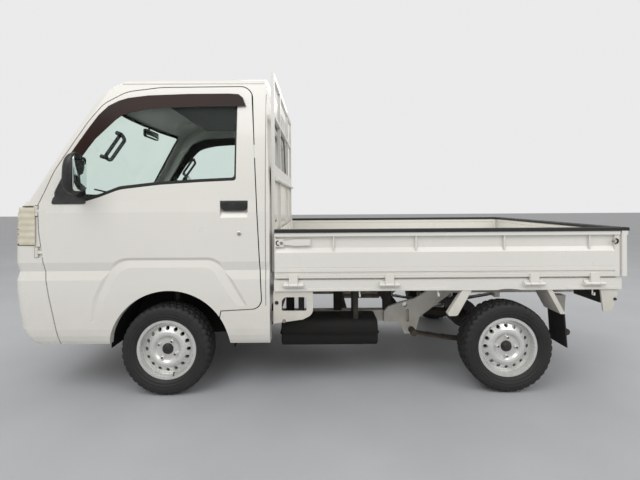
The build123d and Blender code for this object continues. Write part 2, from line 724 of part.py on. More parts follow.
for x in GATE_HINGES:
    gate_hinge_parts.append(cut(
        joined(bar_x(-gate_outer_y, gate_hinge_z, hinge_radius, x - 24, x + 24),
               span_box(x - 24, x + 24, -gate_outer_y - 4, -gate_outer_y + gate_lip_depth + 3, gate_hinge_z, 668)),
        bar_x(-gate_outer_y, gate_hinge_z, hinge_bore_radius, x - 34, x + 34),
    ))
    lug = joined(
        bar_x(-gate_outer_y, gate_hinge_z, hinge_radius, x + 26, x + 56),
        span_box(x + 26, x + 56, -gate_outer_y, -sill_outer_y, gate_hinge_z - 12, gate_hinge_z + 8),
    )
    other_lug = lug.moved(Location((-82, 0, 0)))
    sill_hinge_parts += [lug, other_lug, bar_x(-gate_outer_y, gate_hinge_z, hinge_pin_radius, x - 56, x + 56)]
gate_left_panel = joined(gate_slab, *gate_ends, *gate_hinge_parts)
# Rope hooks hang under the sill: a bent rod each.
ROPE_HOOKS = [212, 649, 1512]
hook_radius = 4.0
hook_drop = 31.0
hook_low_z = sill_bottom_z - hook_drop
hook_rods = []
for x in ROPE_HOOKS:
    hook_rods += [
        bar_z(x, -sill_web_y + 8, hook_radius, hook_low_z, sill_bottom_z + 2),
        bar_y(x, hook_low_z, hook_radius, -sill_outer_y, -sill_web_y + 8),
        bar_z(x, -sill_outer_y, hook_radius, hook_low_z, hook_low_z + 14),
    ]
side_sill = joined(side_sill, *sill_hinge_parts, *hook_rods)
# Rope pins stand in the gate's channel, and a latch lever lies at its front end.
ROPE_PINS = [68, 522, 1010, 1482]
pin_radius = 5.0
channel_low_z = 800.0
channel_high_z = 880.0
gate_fittings = [bar_z(x, -gate_outer_y + 10, pin_radius, channel_low_z, channel_high_z) for x in ROPE_PINS]
gate_fittings += [
    span_box(gate_front_x + 4, gate_front_x + 50, -gate_outer_y + 2, -gate_outer_y + 20, 822, 864),
    side_prism([(gate_front_x + 48, 852), (gate_front_x + 110, 862), (gate_front_x + 198, 862),
                (gate_front_x + 198, 828), (gate_front_x + 110, 826), (gate_front_x + 48, 834)],
               -gate_outer_y + 3, -gate_outer_y + 13),
    span_box(gate_front_x + 40, gate_front_x + 90, -gate_outer_y + 12, -gate_outer_y + 20, 836, 850),
]
gate_left_panel = joined(gate_left_panel, *gate_fittings)
cap_top_z = gate_top_z + gate_cap_height
cap_lap = 3.0
gate_left_cap = front_prism(
    [(-half_width, gate_top_z), (cap_lap - gate_inner_y, gate_top_z), (cap_lap - gate_inner_y, cap_top_z - 4),
     (-gate_inner_y - 1, cap_top_z), (-half_width + 4.5, cap_top_z), (-half_width, cap_top_z - 4)],
    gate_front_x, gate_rear_x)
side_sills = both_sides(side_sill)

tail_outline = [(tailgate_outer_x - d, z) for d, z in GATE_FACE + GATE_BACK]
tail_slab = side_prism(tail_outline, -tailgate_half_width, tailgate_half_width)
tail_end_x = tailgate_outer_x - gate_lip_depth
tail_end = side_prism([(tailgate_inner_x, gate_bottom_z), (tail_end_x, gate_bottom_z), (tail_end_x, gate_top_z),
                       (tailgate_inner_x, gate_top_z)], -tailgate_half_width, -tailgate_half_width + 26)
tail_ends = [tail_end, mirrored(tail_end)]
tail_hinge_parts = []
beam_hinge_parts = []
for y in (-520, 0, 520):
    tail_hinge_parts.append(cut(
        joined(bar_y(tailgate_outer_x, gate_hinge_z, hinge_radius, y - 20, y + 20),
               span_box(tailgate_outer_x - gate_lip_depth - 3, tailgate_outer_x + 4, y - 20, y + 20, gate_hinge_z,
                        668)),
        bar_y(tailgate_outer_x, gate_hinge_z, hinge_bore_radius, y - 30, y + 30),
    ))
    for side in (-32, 32):
        beam_hinge_parts.append(joined(
            bar_y(tailgate_outer_x, gate_hinge_z, hinge_radius, y + side - 10, y + side + 10),
            span_box(rear_beam_x, tailgate_outer_x, y + side - 10, y + side + 10, gate_hinge_z - 12, gate_hinge_z + 8),
        ))
    beam_hinge_parts.append(bar_y(tailgate_outer_x, gate_hinge_z, hinge_pin_radius, y - 42, y + 42))
tailgate_panel = joined(tail_slab, *tail_ends, *tail_hinge_parts)
rear_beam = joined(rear_beam, *beam_hinge_parts)
tail_cap_x = tailgate_inner_x - cap_lap - 1
tailgate_cap = side_prism(
    [(tail_cap_x, gate_top_z), (tail_cap_x, cap_top_z - 4), (tail_cap_x + 4, cap_top_z), (tail_x - 4, cap_top_z),
     (tail_x, cap_top_z - 4), (tail_x, gate_top_z)],
    -tailgate_half_width, tailgate_half_width)

# ---------------------------------------------------------------- guard frame behind the cab
guard_parts = [
    span_box(guard_front_x, guard_rear_x, -guard_half_width, guard_half_width, guard_top_z - 28, guard_top_z),
    span_box(guard_front_x, guard_rear_x, -guard_half_width, guard_half_width, 1556, 1578),
    span_box(guard_front_x, guard_rear_x, -guard_half_width, guard_half_width, 1206, 1280),
    span_box(guard_front_x, guard_rear_x - 14, -guard_half_width, guard_half_width, 672, 1206),
]
for y in (-guard_half_width, -311, 289, guard_half_width - 22):
    guard_parts.append(span_box(guard_front_x, guard_rear_x, y, y + 22, 672, guard_top_z))
guard_frame = joined(*guard_parts)
guard_frame = cut(guard_frame, cab_outside)

# ---------------------------------------------------------------- under the bed
with BuildPart() as tank:
    with Locations((46, -525, 340)):
        Box(560, 220, 216)
    fillet(tank.edges().filter_by(Axis.X), 40)
    fillet(tank.faces().sort_by(Axis.X)[0].edges() + tank.faces().sort_by(Axis.X)[-1].edges(), 16)
tank_straps = [span_box(x, x + 40, -560, -490, 440, bed_beam_low_z) for x in (-225, 80)]
fuel_tank = joined(tank.part, *tank_straps)
engine = span_box(-750, -330, -250, 250, 240, 640)
drive_axle = joined(
    bar_y(rear_axle_x, tyre_radius, 32, -626, 626),
    bar_y(rear_axle_x, tyre_radius, 19.7, -682, 682),
    bar_y(rear_axle_x, tyre_radius, 105, -664, -600),
    bar_y(rear_axle_x, tyre_radius, 105, 600, 664),
    bar_y(rear_axle_x, tyre_radius, 98, -70, 70),
    bar_x(0, tyre_radius, 26, -330, rear_axle_x),
)
spring_eye_front_x = 565.0
spring_eye_rear_x = 1500.0
spring_eye_z = 262.0
axle_tube_radius = 32.0
with BuildPart() as spring:
    with BuildSketch(Plane.XZ.offset(440)):
        for top_drop, reach in ((0, 0), (9, 90), (18, 190)):
            with BuildLine():
                left = spring_eye_front_x + reach
                right = spring_eye_rear_x - reach
                middle_top = tyre_radius - axle_tube_radius - top_drop
                lift = spring_eye_z + 5 - (reach / 467) * 26 * 1.9 - top_drop * 0.4
                top_arc = ThreePointArc((left, lift), (rear_axle_x, middle_top), (right, lift))
                low_arc = ThreePointArc((left, lift - 9), (rear_axle_x, middle_top - 9), (right, lift - 9))
                Line(top_arc @ 0, low_arc @ 0)
                Line(top_arc @ 1, low_arc @ 1)
            make_face()
    extrude(amount=60)
leaf_spring = joined(
    spring.part,
    bar_y(spring_eye_front_x, spring_eye_z, 20, -504, -436),
    bar_y(spring_eye_rear_x, spring_eye_z, 20, -504, -436),
    span_box(rear_axle_x - 40, rear_axle_x + 40, -500, -440, tyre_radius - 63, tyre_radius - 6),
)
leaf_spring = cut(leaf_spring, bar_y(rear_axle_x, tyre_radius, axle_tube_radius, -700, 700))
HANGER_OUTLINE = [(400, 366), (425, 396), (490, 420), (600, 448), (700, 510), (760, 550), (830, 550),
                  (700, 396), (632, 352), (606, 256), (590, 224), (530, 224), (500, 300), (400, 300)]
spring_hangers = joined(
    cut(side_prism(HANGER_OUTLINE, -400, -380),
        bar_y(533, 410, 15, -500, -300),
        side_prism([(540, 300), (560, 300), (560, 380), (540, 380)], -500, -300, radii=9)),
    bar_y(spring_eye_front_x, spring_eye_z, 14, -436, -380),
    side_prism([(1470, 470), (1540, 470), (1522, 250), (1480, 250)], -436, -380),
)
leaf_springs = both_sides(leaf_spring)
hangers = both_sides(spring_hangers)
bracket_outer_y = sill_web_y
bracket_inner_y = bracket_outer_y - 10
front_bracket = cut(
    side_prism([(-267, sill_bottom_z), (-48, sill_bottom_z), (-48, 444), (-104, 416), (-267, 394)],
               -bracket_outer_y, -bracket_inner_y,
               radii=[1, 1, 46, 20, 1]),
    side_prism([(-221, 463), (-83, 463), (-83, 540), (-221, 540)], -720, -690, radii=[10, 10, 10, 30]),
    bar_y(-249, 509, 11, -720, -690),
)
rear_bracket = cut(
    side_prism([(1552, sill_bottom_z), (1650, sill_bottom_z), (1646, 540), (1618, 453), (1568, 449)],
               -bracket_outer_y, -bracket_inner_y),
    bar_y(1632, 517, 9, -720, -690),
)
front_stay = side_prism([(782, sill_bottom_z), (834, sill_bottom_z), (756, 436), (744, 430), (706, 430), (698, 444)],
                        -sill_outer_y + 4, -sill_outer_y + 34)
rear_stay = side_prism([(1252, sill_bottom_z), (1280, sill_bottom_z), (1352, 436), (1326, 436)],
                       -sill_outer_y + 4, -560)
under_bed_brackets = both_sides(joined(front_bracket, rear_bracket, front_stay, rear_stay))
mud_flap = side_prism([(1344, 436), (1351, 436), (1364, 250), (1357, 250)], -sill_outer_y + 4, -564)
mud_flaps = both_sides(mud_flap)
tail_lamp = joined(span_box(1600, 1656, -640, -420, 478, 568),
                   span_box(1630, rear_beam_x - 2, -560, -500, 568, sill_bottom_z))
tail_lamps = both_sides(tail_lamp)
exhaust = joined(
    bar_x(exhaust_y, exhaust_z, 62, 180, 520),
    bar_x(exhaust_y, exhaust_z, exhaust_radius, -379, 640),
    bar_y(-360, exhaust_z, exhaust_radius, 250, exhaust_y),
    span_box(410, 440, exhaust_y - 10, exhaust_y + 10, exhaust_z + 50, bed_beam_low_z),
)

# ---------------------------------------------------------------- front suspension and steering
arm_half = 16.0
arm_thickness = 20.0
drum_radius = 96.0
arm_clearance = 5.0
strut_y = 530.0
strut_radius = 20.0
kingpin_radius = 8.0
lower_arm_top = tyre_radius - drum_radius - arm_clearance
lower_arm_low = lower_arm_top - arm_thickness
upper_arm_low = tyre_radius + drum_radius + arm_clearance
upper_arm_top = upper_arm_low + arm_thickness
suspension_side = joined(
    span_box(front_axle_x - arm_half, front_axle_x + arm_half, -kingpin_y - 14, -rail_inner_y + 10,
             lower_arm_low, lower_arm_top),
    span_box(front_axle_x - arm_half - 10, front_axle_x + arm_half + 10, -rail_outer_y, -rail_inner_y,
             lower_arm_low, rail_front_z),
    bar_z(front_axle_x, -strut_y, strut_radius, lower_arm_top, tyre_radius + housing_radius - 5),
    span_box(front_axle_x - arm_half, front_axle_x + arm_half, -kingpin_y - 14, -strut_y, upper_arm_low,
             upper_arm_top),
    bar_z(front_axle_x, -kingpin_y, kingpin_radius, lower_arm_low + 8, upper_arm_top - 8),
)
front_suspension = both_sides(suspension_side)
upright = cut(
    joined(
        bar_z(front_axle_x, -kingpin_y, 17, tyre_radius - 72, tyre_radius + 72),
        bar_y(front_axle_x, tyre_radius, hub_bore_radius - running_gap, -682, -kingpin_y),
        bar_y(front_axle_x, tyre_radius, drum_radius, -662, -622),
        span_box(front_axle_x, front_axle_x + 110, -612, -588, tyre_radius - 54, tyre_radius - 36),
    ),
    bar_z(front_axle_x, -kingpin_y, kingpin_radius + running_gap, tyre_radius - 78, tyre_radius + 82),
)

# ---------------------------------------------------------------- wheels
rim_wall = 6.0
rim_seat_out = rim_seat_radius + rim_wall
flange_low = rim_half_width - rim_flange_thickness
# Columns: radius, place across the wheel with the outside face positive.
RIM_PROFILE = [
    (rim_seat_radius, -rim_half_width), (rim_flange_radius, -rim_half_width), (rim_flange_radius, -flange_low),
    (rim_seat_out, 2 - flange_low), (rim_seat_out, flange_low - 2), (rim_flange_radius, flange_low),
    (rim_flange_radius, rim_half_width), (rim_seat_radius, rim_half_width),
    (rim_seat_radius, 18), (131, 22), (124, 27), (96, 43), (84, 45), (74, 42), (64, 33), (56, 31),
    (hub_bore_radius, 31), (hub_bore_radius, 20), (58, 20), (70, 30), (80, 33), (92, 31), (118, 16),
    (rim_seat_radius, 6),
]
# Columns: how far in from the tread's radius, how far in from the side.
TYRE_SIDE = [(0, 52.5), (1.5, 32.5), (6, 17.5), (14, 8.5), (28, 2), (46, 0), (64, 1), (72, 4), (80, 13)]
tyre_outside = [(tyre_radius - drop, tyre_half_width - inward) for drop, inward in TYRE_SIDE]
tyre_outside += [(rim_flange_radius, flange_low), (rim_seat_out, flange_low - 2)]
TYRE_PROFILE = [(r, -w) for r, w in reversed(tyre_outside)] + tyre_outside
vent_radius = 10.5
vent_circle_radius = 116.0
vent_count = 16


def ring_of(profile):
    """A profile of (radius, width position) turned about the Y axis, the outside face toward -Y."""
    with BuildPart() as ring:
        with BuildSketch(Plane.XY):
            with BuildLine():
                Polyline(*[(r, -w) for r, w in profile], close=True)
            make_face()
        revolve(axis=Axis.Y)
    return ring.part


with BuildPart() as rim_builder:
    add(ring_of(RIM_PROFILE))
    with BuildSketch(Plane.XZ.offset(rim_half_width + 8)):
        with PolarLocations(vent_circle_radius, vent_count):
            Circle(vent_radius)
    extrude(amount=-rim_half_width - 8, mode=Mode.SUBTRACT)
rim = rim_builder.part
tyre = ring_of(TYRE_PROFILE)
WHEEL_PLACES = {
    "wheel_fl": (front_axle_x, -1),
    "wheel_fr": (front_axle_x, 1),
    "wheel_rl": (rear_axle_x, -1),
    "wheel_rr": (rear_axle_x, 1),
}
for wheel_name, (axle_x, side) in WHEEL_PLACES.items():
    rim_side = rim if side < 0 else mirrored(rim)
    place = Location((axle_x, side * half_track, tyre_radius))
    save(rim_side.moved(place), wheel_name + "_rim")
    save(tyre.moved(place), wheel_name + "_tyre")

# ---------------------------------------------------------------- cabin
dash_outline = [(-1620, 760), (-1400, 760), (-1360, 860), (-1340, 1000), (-1380, 1050), (-1520, 1076), (-1620, 1066)]
dashboard = common(side_prism(dash_outline, -660, 660), cab_inside)
wheel_centre = (-1180.0, 340.0, 1010.0)
column_tilt = 48.0
column_direction = Vector(math.sin(math.radians(column_tilt)), 0, math.cos(math.radians(column_tilt)))
wheel_plane = Plane(origin=wheel_centre, x_dir=(0, 1, 0), z_dir=column_direction)
with BuildPart() as steering_builder:
    with BuildSketch(wheel_plane * Pos(182, 0, 0) * Rot(90, 0, 0)):
        Circle(13)
    revolve(axis=Axis(wheel_centre, column_direction))
    with BuildSketch(wheel_plane.offset(-34)):
        Circle(42)
    extrude(amount=34)
    with BuildSketch(wheel_plane.offset(-22)):
        with Locations((0, 0)):
            Rectangle(356, 34)
        with Locations((0, 0)):
            Rectangle(34, 356)
    extrude(amount=12)
steering_wheel = steering_builder.part
with BuildPart() as column_builder:
    with BuildSketch(wheel_plane.offset(-300)):
        Circle(24)
    extrude(amount=300 - 34 - running_gap)
column = column_builder.part
dashboard = joined(dashboard, column)
with BuildPart() as seat_builder:
    add(span_box(-800, -420, -600, -110, seat_deck_z, 850))
    add(side_prism([(-450, 800), (-340, 800), (-328, 1150), (-336, 1340), (-400, 1340), (-420, 1150)], -590, -120))
seats = common(both_sides(seat_builder.part), cab_inside)

# ---------------------------------------------------------------- writing the nodes
NODES = {
    "roof_panel": roof_panel,
    "windscreen_pillars": windscreen_pillars,
    "rear_panel": rear_panel,
    "cab_sills": cab_sills,
    "front_panel": front_panel,
    "front_bumper": front_bumper,
    "cab_glass": joined(windscreen, rear_window),
    "headlamps": headlamps,
    "bumper_grille": bumper_grille,
    "wheel_housings": wheel_housings,
    "cab_floor": cab_floor,
    "dashboard": dashboard,
    "seats": seats,
    "chassis_rails": chassis_rails,
    "cross_members": cross_members,
    "bed_deck": bed_deck,
    "side_sills": side_sills,
    "rear_beam": rear_beam,
    "headboard": headboard,
    "guard_frame": guard_frame,
    "fuel_tank": fuel_tank,
    "engine": engine,
    "drive_axle": drive_axle,
    "leaf_springs": leaf_springs,
    "spring_hangers": hangers,
    "under_bed_brackets": under_bed_brackets,
    "mud_flaps": mud_flaps,
    "tail_lamps": tail_lamps,
    "exhaust": exhaust,
    "front_suspension": front_suspension,
    "steering_wheel": steering_wheel,
    "tailgate_panel": tailgate_panel,
    "tailgate_cap": tailgate_cap,
}
for name, solid in NODES.items():
    save(solid, name)
SIDED_NODES = {
    "door_{}_panel": door_left_panel,
    "door_{}_glass": door_left_glass,
    "door_{}_visor": door_left_visor,
    "door_{}_trim": door_left_trim,
    "gate_{}_panel": gate_left_panel,
    "gate_{}_cap": gate_left_cap,
    "knuckle_{}": upright,
}
for pattern, solid in SIDED_NODES.items():
    save(solid, pattern.format("left"))
    save(mirrored(solid), pattern.format("right"))
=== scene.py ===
"""A kei truck, dressed: paint, glass, tyres, lamps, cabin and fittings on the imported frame.

The frame: the nose points to -X, the passenger's side to -Y, Z is up. Lengths are in metres.
"""

import math
import random

import bmesh
import bpy
from mathutils import Matrix, Vector
from mathutils.bvhtree import BVHTree


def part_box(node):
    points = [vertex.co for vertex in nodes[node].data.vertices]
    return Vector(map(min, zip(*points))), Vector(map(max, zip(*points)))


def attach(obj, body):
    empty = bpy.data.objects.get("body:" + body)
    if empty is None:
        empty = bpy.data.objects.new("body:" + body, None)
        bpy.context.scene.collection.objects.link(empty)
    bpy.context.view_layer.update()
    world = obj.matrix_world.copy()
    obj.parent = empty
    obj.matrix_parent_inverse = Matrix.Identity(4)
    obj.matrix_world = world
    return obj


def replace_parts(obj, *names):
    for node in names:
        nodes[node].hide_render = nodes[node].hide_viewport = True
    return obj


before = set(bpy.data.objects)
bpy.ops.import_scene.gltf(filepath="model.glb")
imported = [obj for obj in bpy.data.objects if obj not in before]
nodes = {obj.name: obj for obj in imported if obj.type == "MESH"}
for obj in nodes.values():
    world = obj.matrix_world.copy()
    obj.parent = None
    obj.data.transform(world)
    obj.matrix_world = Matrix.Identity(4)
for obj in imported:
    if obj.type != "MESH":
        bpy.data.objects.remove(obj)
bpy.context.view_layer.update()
scene = bpy.context.scene


# ---------------------------------------------------------------- chassis rails, cross members and brackets
# Two pressed steel rails carry the cab and the bed, with cross members and hanger plates welded between them.
# Rails, brackets and hangers are sprayed in the cab's off-white, and the cross members in black underseal.
def set_inputs(node, **values):
    """Sets a shader node's inputs; a name's underscore stands for a space."""
    for name, value in values.items():
        node.inputs[name.replace("_", " ")].default_value = value


def finish(name, colour, worn_colour, patch=6.0, rough=0.5, rough_spread=0.1, metallic=0.0, grain=0.0,
           grain_scale=200.0, coat=0.0):
    """A surface whose colour and gloss drift between two near tones, with a fine grain in its relief."""
    colour_ends, worn_starts, patch_detail = 0.35, 0.7, 6.0
    grain_detail, grain_depth, coat_roughness = 3.0, 0.001, 0.06
    material = bpy.data.materials.new(name)
    material.use_nodes = True
    tree = material.node_tree
    link = tree.links.new
    shader = tree.nodes["Principled BSDF"]
    place = tree.nodes.new("ShaderNodeTexCoord")
    patches = tree.nodes.new("ShaderNodeTexNoise")
    set_inputs(patches, Scale=patch, Detail=patch_detail)
    link(place.outputs["Object"], patches.inputs["Vector"])
    tones = tree.nodes.new("ShaderNodeValToRGB")
    ends = ((colour_ends, colour), (worn_starts, worn_colour))
    for tone, (position, tint) in zip(tones.color_ramp.elements, ends):
        tone.position = position
        tone.color = (*tint, 1)
    link(patches.outputs["Fac"], tones.inputs["Fac"])
    link(tones.outputs["Color"], shader.inputs["Base Color"])
    gloss = tree.nodes.new("ShaderNodeMapRange")
    set_inputs(gloss, From_Min=0.3, From_Max=0.7, To_Min=max(0.02, rough - rough_spread),
               To_Max=min(1.0, rough + rough_spread))
    link(patches.outputs["Fac"], gloss.inputs["Value"])
    link(gloss.outputs["Result"], shader.inputs["Roughness"])
    set_inputs(shader, Metallic=metallic, Coat_Weight=coat, Coat_Roughness=coat_roughness)
    if grain:
        relief = tree.nodes.new("ShaderNodeTexNoise")
        set_inputs(relief, Scale=grain_scale, Detail=grain_detail)
        link(place.outputs["Object"], relief.inputs["Vector"])
        lift = tree.nodes.new("ShaderNodeBump")
        set_inputs(lift, Strength=grain, Distance=grain_depth)
        link(relief.outputs["Fac"], lift.inputs["Height"])
        link(lift.outputs["Normal"], shader.inputs["Normal"])
    return material


def dusted(material, dust_colour, low_z, high_z, most=0.5, patch=14.0):
    """Road dust over a finish, thickest at low_z and gone at high_z, broken up by noise."""
    speckle_detail = 8.0
    tree = material.node_tree
    link = tree.links.new
    shader = tree.nodes["Principled BSDF"]
    clean = shader.inputs["Base Color"].links[0].from_socket
    place = tree.nodes.new("ShaderNodeTexCoord")
    height = tree.nodes.new("ShaderNodeSeparateXYZ")
    link(place.outputs["Object"], height.inputs["Vector"])
    fade = tree.nodes.new("ShaderNodeMapRange")
    set_inputs(fade, From_Min=low_z, From_Max=high_z, To_Min=most, To_Max=0.0)
    link(height.outputs["Z"], fade.inputs["Value"])
    speckle = tree.nodes.new("ShaderNodeTexNoise")
    set_inputs(speckle, Scale=patch, Detail=speckle_detail)
    link(place.outputs["Object"], speckle.inputs["Vector"])
    amount = tree.nodes.new("ShaderNodeMath")
    amount.operation = "MULTIPLY"
    link(fade.outputs["Result"], amount.inputs[0])
    link(speckle.outputs["Fac"], amount.inputs[1])
    cover = tree.nodes.new("ShaderNodeMix")
    cover.data_type = "RGBA"
    link(amount.outputs["Value"], cover.inputs["Factor"])
    link(clean, cover.inputs["A"])
    cover.inputs["B"].default_value = (*dust_colour, 1)
    link(cover.outputs["Result"], shader.inputs["Base Color"])
    return material


def coat_node(material, *names):
    """Gives CAD nodes their finish."""
    for name in names:
        nodes[name].data.materials.clear()
        nodes[name].data.materials.append(material)


road_dust = (0.20, 0.15, 0.10)
chassis_paint = dusted(finish("chassis_paint", (0.70, 0.68, 0.62), (0.62, 0.60, 0.54), patch=7, rough=0.42,
                              rough_spread=0.12, grain=0.15, grain_scale=90, coat=0.15),
                       road_dust, 0.28, 0.62, most=0.45)
underseal = dusted(finish("underseal", (0.012, 0.011, 0.010), (0.020, 0.018, 0.016), patch=16, rough=0.75,
                          rough_spread=0.12, grain=0.5, grain_scale=160), road_dust, 0.2, 0.7, most=0.2)
coat_node(chassis_paint, "chassis_rails", "under_bed_brackets", "spring_hangers")
coat_node(underseal, "cross_members")


# ---------------------------------------------------------------- engine, axles, springs, tank and exhaust
# What hangs between the rails: black-painted castings, forgings and leaf springs bolted to the hangers.
# The exhaust is bare aluminised steel, browned by heat. The tank is two pressed steel shells, welded along a
# flange at mid height, sprayed black and hung from the rails on four flat straps.
def settle(piece, material, body, sharp_degrees=38):
    """Finishes a new piece: its material, smooth shading between soft edges, and the body it rides on."""
    if piece.name not in scene.collection.objects:
        scene.collection.objects.link(piece)
    piece.data.materials.clear()
    piece.data.materials.append(material)
    piece.data.shade_smooth()
    piece.data.set_sharp_from_angle(angle=math.radians(sharp_degrees))
    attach(piece, body)
    return piece


def apply_modifiers(piece):
    """Bakes a piece's modifiers into its mesh."""
    baked = bpy.data.meshes.new_from_object(piece.evaluated_get(bpy.context.evaluated_depsgraph_get()))
    piece.modifiers.clear()
    piece.data = baked


def pressed_plate(name, outline, low, high, across, material, body, edge=0.0015, rounds=2):
    """A plate cut to an outline and run from low to high along one axis, its edges eased.

    across names the axis it runs along: "y" takes (x, z) points, "x" takes (y, z), "z" takes (x, y).
    """
    mesh = bpy.data.meshes.new(name)
    skin = bmesh.new()
    ends = []
    for level in (low, high):
        spots = [{"y": (u, level, v), "x": (level, u, v), "z": (u, v, level)}[across] for u, v in outline]
        ends.append([skin.verts.new(spot) for spot in spots])
    skin.faces.new(ends[0])
    skin.faces.new(list(reversed(ends[1])))
    for i in range(len(outline)):
        j = (i + 1) % len(outline)
        skin.faces.new((ends[0][j], ends[0][i], ends[1][i], ends[1][j]))
    bmesh.ops.recalc_face_normals(skin, faces=skin.faces)
    skin.to_mesh(mesh)
    skin.free()
    piece = bpy.data.objects.new(name, mesh)
    scene.collection.objects.link(piece)
    if edge:
        ease = piece.modifiers.new("edge", "BEVEL")
        ease.width = edge
        ease.segments = rounds
        ease.limit_method = "ANGLE"
        ease.angle_limit = math.radians(35)
        ease.harden_normals = False
        apply_modifiers(piece)
    return settle(piece, material, body)


def rectangle(u_one, v_low, u_other, v_high):
    """The four corners of a rectangle, from one upright side to the other."""
    return [(u_one, v_low), (u_other, v_low), (u_other, v_high), (u_one, v_high)]


def rounded(outline, radius, steps=5):
    """An outline with its corners rounded; radius is one value or one for each corner."""
    radii = radius if isinstance(radius, (list, tuple)) else [radius] * len(outline)
    straight, longest_share = 0.02, 0.49
    points = []
    for index, corner in enumerate(outline):
        here = Vector(corner)
        before = Vector(outline[index - 1]) - here
        after = Vector(outline[(index + 1) % len(outline)]) - here
        between = before.angle(after)
        if radii[index] <= 0 or math.pi - between < straight:
            points.append(tuple(here))
            continue
        reach = min(radii[index] / math.tan(between / 2), before.length * longest_share,
                    after.length * longest_share)
        start = here + before.normalized() * reach
        end = here + after.normalized() * reach
        for step in range(steps + 1):
            t = step / steps
            points.append(tuple((1 - t) ** 2 * start + 2 * t * (1 - t) * here + t ** 2 * end))
    return points


iron = dusted(finish("painted_iron", (0.020, 0.019, 0.018), (0.045, 0.038, 0.032), patch=22, rough=0.6,
                     rough_spread=0.14, metallic=0.2, grain=0.4, grain_scale=150),
              road_dust, 0.1, 0.5, most=0.4)
exhaust_steel = finish("exhaust_steel", (0.22, 0.20, 0.18), (0.16, 0.10, 0.06), patch=9, rough=0.5,
                       rough_spread=0.14, metallic=0.8, grain=0.3, grain_scale=120)
tank_black = finish("tank_black", (0.008, 0.008, 0.008), (0.014, 0.013, 0.012), patch=10, rough=0.7,
                    rough_spread=0.1, grain=0.3, grain_scale=200)
set_inputs(tank_black.node_tree.nodes["Principled BSDF"], Specular_IOR_Level=0.25)
coat_node(iron, "engine", "drive_axle", "leaf_springs", "front_suspension", "knuckle_left", "knuckle_right")
coat_node(exhaust_steel, "exhaust")
coat_node(tank_black, "fuel_tank", "wheel_housings")

tank_low, tank_high = Vector((-0.232, -0.633, 0.234)), Vector((0.325, -0.418, 0.388))
tank_corner, flange_corner, flange_reach, flange_half_thickness = 0.05, 0.03, 0.008, 0.002
tank_side = rounded(rectangle(tank_low.y, tank_low.z, tank_high.y, tank_high.z), tank_corner, 6)
tank = pressed_plate("tank_shell", tank_side, tank_low.x, tank_high.x, "x", tank_black, "chassis", edge=0.012,
                     rounds=4)
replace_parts(tank, "fuel_tank")
strap_half_width, strap_half_thickness, strap_inset = 0.014, 0.002, 0.03
strap_foot, strap_top = 0.375, 0.605
for word, strap_x in (("front", -0.12), ("rear", 0.20)):
    for side_word, y in (("out", tank_low.y + strap_inset), ("in", tank_high.y - strap_inset)):
        strap = rectangle(strap_x - strap_half_width, strap_foot, strap_x + strap_half_width, strap_top)
        pressed_plate(f"tank_hanger_{word}_{side_word}", strap, y - strap_half_thickness,
                      y + strap_half_thickness, "y", iron, "chassis", edge=0.0006)
flange_z = (tank_low.z + tank_high.z) / 2
flange = rectangle(tank_low.x - flange_reach, tank_low.y - flange_reach, tank_high.x + flange_reach,
                   tank_high.y + flange_reach)
pressed_plate("tank_seam_flange", rounded(flange, flange_corner), flange_z - flange_half_thickness,
              flange_z + flange_half_thickness, "z", tank_black, "chassis", edge=0.001)


# ---------------------------------------------------------------- wheels and tyres
# Twelve-inch pressed steel rims in silver, four nuts on studs round a black cap, and light-truck tyres.
# One tyre mesh with shoulder lugs, grooves and ringed sidewalls serves all four wheels.
def grid_mesh(name, rows, closed_rows=False, closed_columns=False):
    """A mesh of quads through rows of points."""
    mesh = bpy.data.meshes.new(name)
    count, width = len(rows), len(rows[0])
    points = [tuple(point) for row in rows for point in row]
    faces = []
    for i in range(count if closed_rows else count - 1):
        for j in range(width if closed_columns else width - 1):
            next_i, next_j = (i + 1) % count, (j + 1) % width
            faces.append((i * width + j, i * width + next_j, next_i * width + next_j, next_i * width + j))
    mesh.from_pydata(points, [], faces)
    mesh.validate()
    mesh.update()
    return mesh


def turned_mesh(name, profile, segments):
    """A profile of (radius, reach) points turned about the Y axis, reaching toward -Y."""
    rows = []
    for step in range(segments):
        angle = 2 * math.pi * step / segments
        rows.append([(r * math.cos(angle), -reach, r * math.sin(angle)) for r, reach in profile])
    return grid_mesh(name, rows, closed_rows=True)


rim_silver = finish("rim_silver", (0.74, 0.74, 0.72), (0.64, 0.64, 0.62), patch=14, rough=0.30,
                    rough_spread=0.08, metallic=0.55, grain=0.08, grain_scale=300, coat=0.2)
tyre_rubber = finish("tyre_rubber", (0.010, 0.010, 0.010), (0.020, 0.019, 0.018), patch=18, rough=0.66,
                     rough_spread=0.1, grain=0.3, grain_scale=300)
rusted_steel = finish("rusted_steel", (0.12, 0.05, 0.025), (0.20, 0.10, 0.05), patch=150, rough=0.8,
                      rough_spread=0.1, metallic=0.3, grain=0.8, grain_scale=900)
black_plastic = finish("black_plastic", (0.014, 0.014, 0.014), (0.024, 0.024, 0.024), patch=30, rough=0.42,
                       rough_spread=0.1, grain=0.25, grain_scale=600)
rubber = finish("rubber", (0.009, 0.009, 0.009), (0.016, 0.016, 0.016), patch=40, rough=0.58,
                rough_spread=0.1, grain=0.2, grain_scale=400)
bead_radius, tread_radius = 0.1555, 0.2497
tyre_height = tread_radius - bead_radius
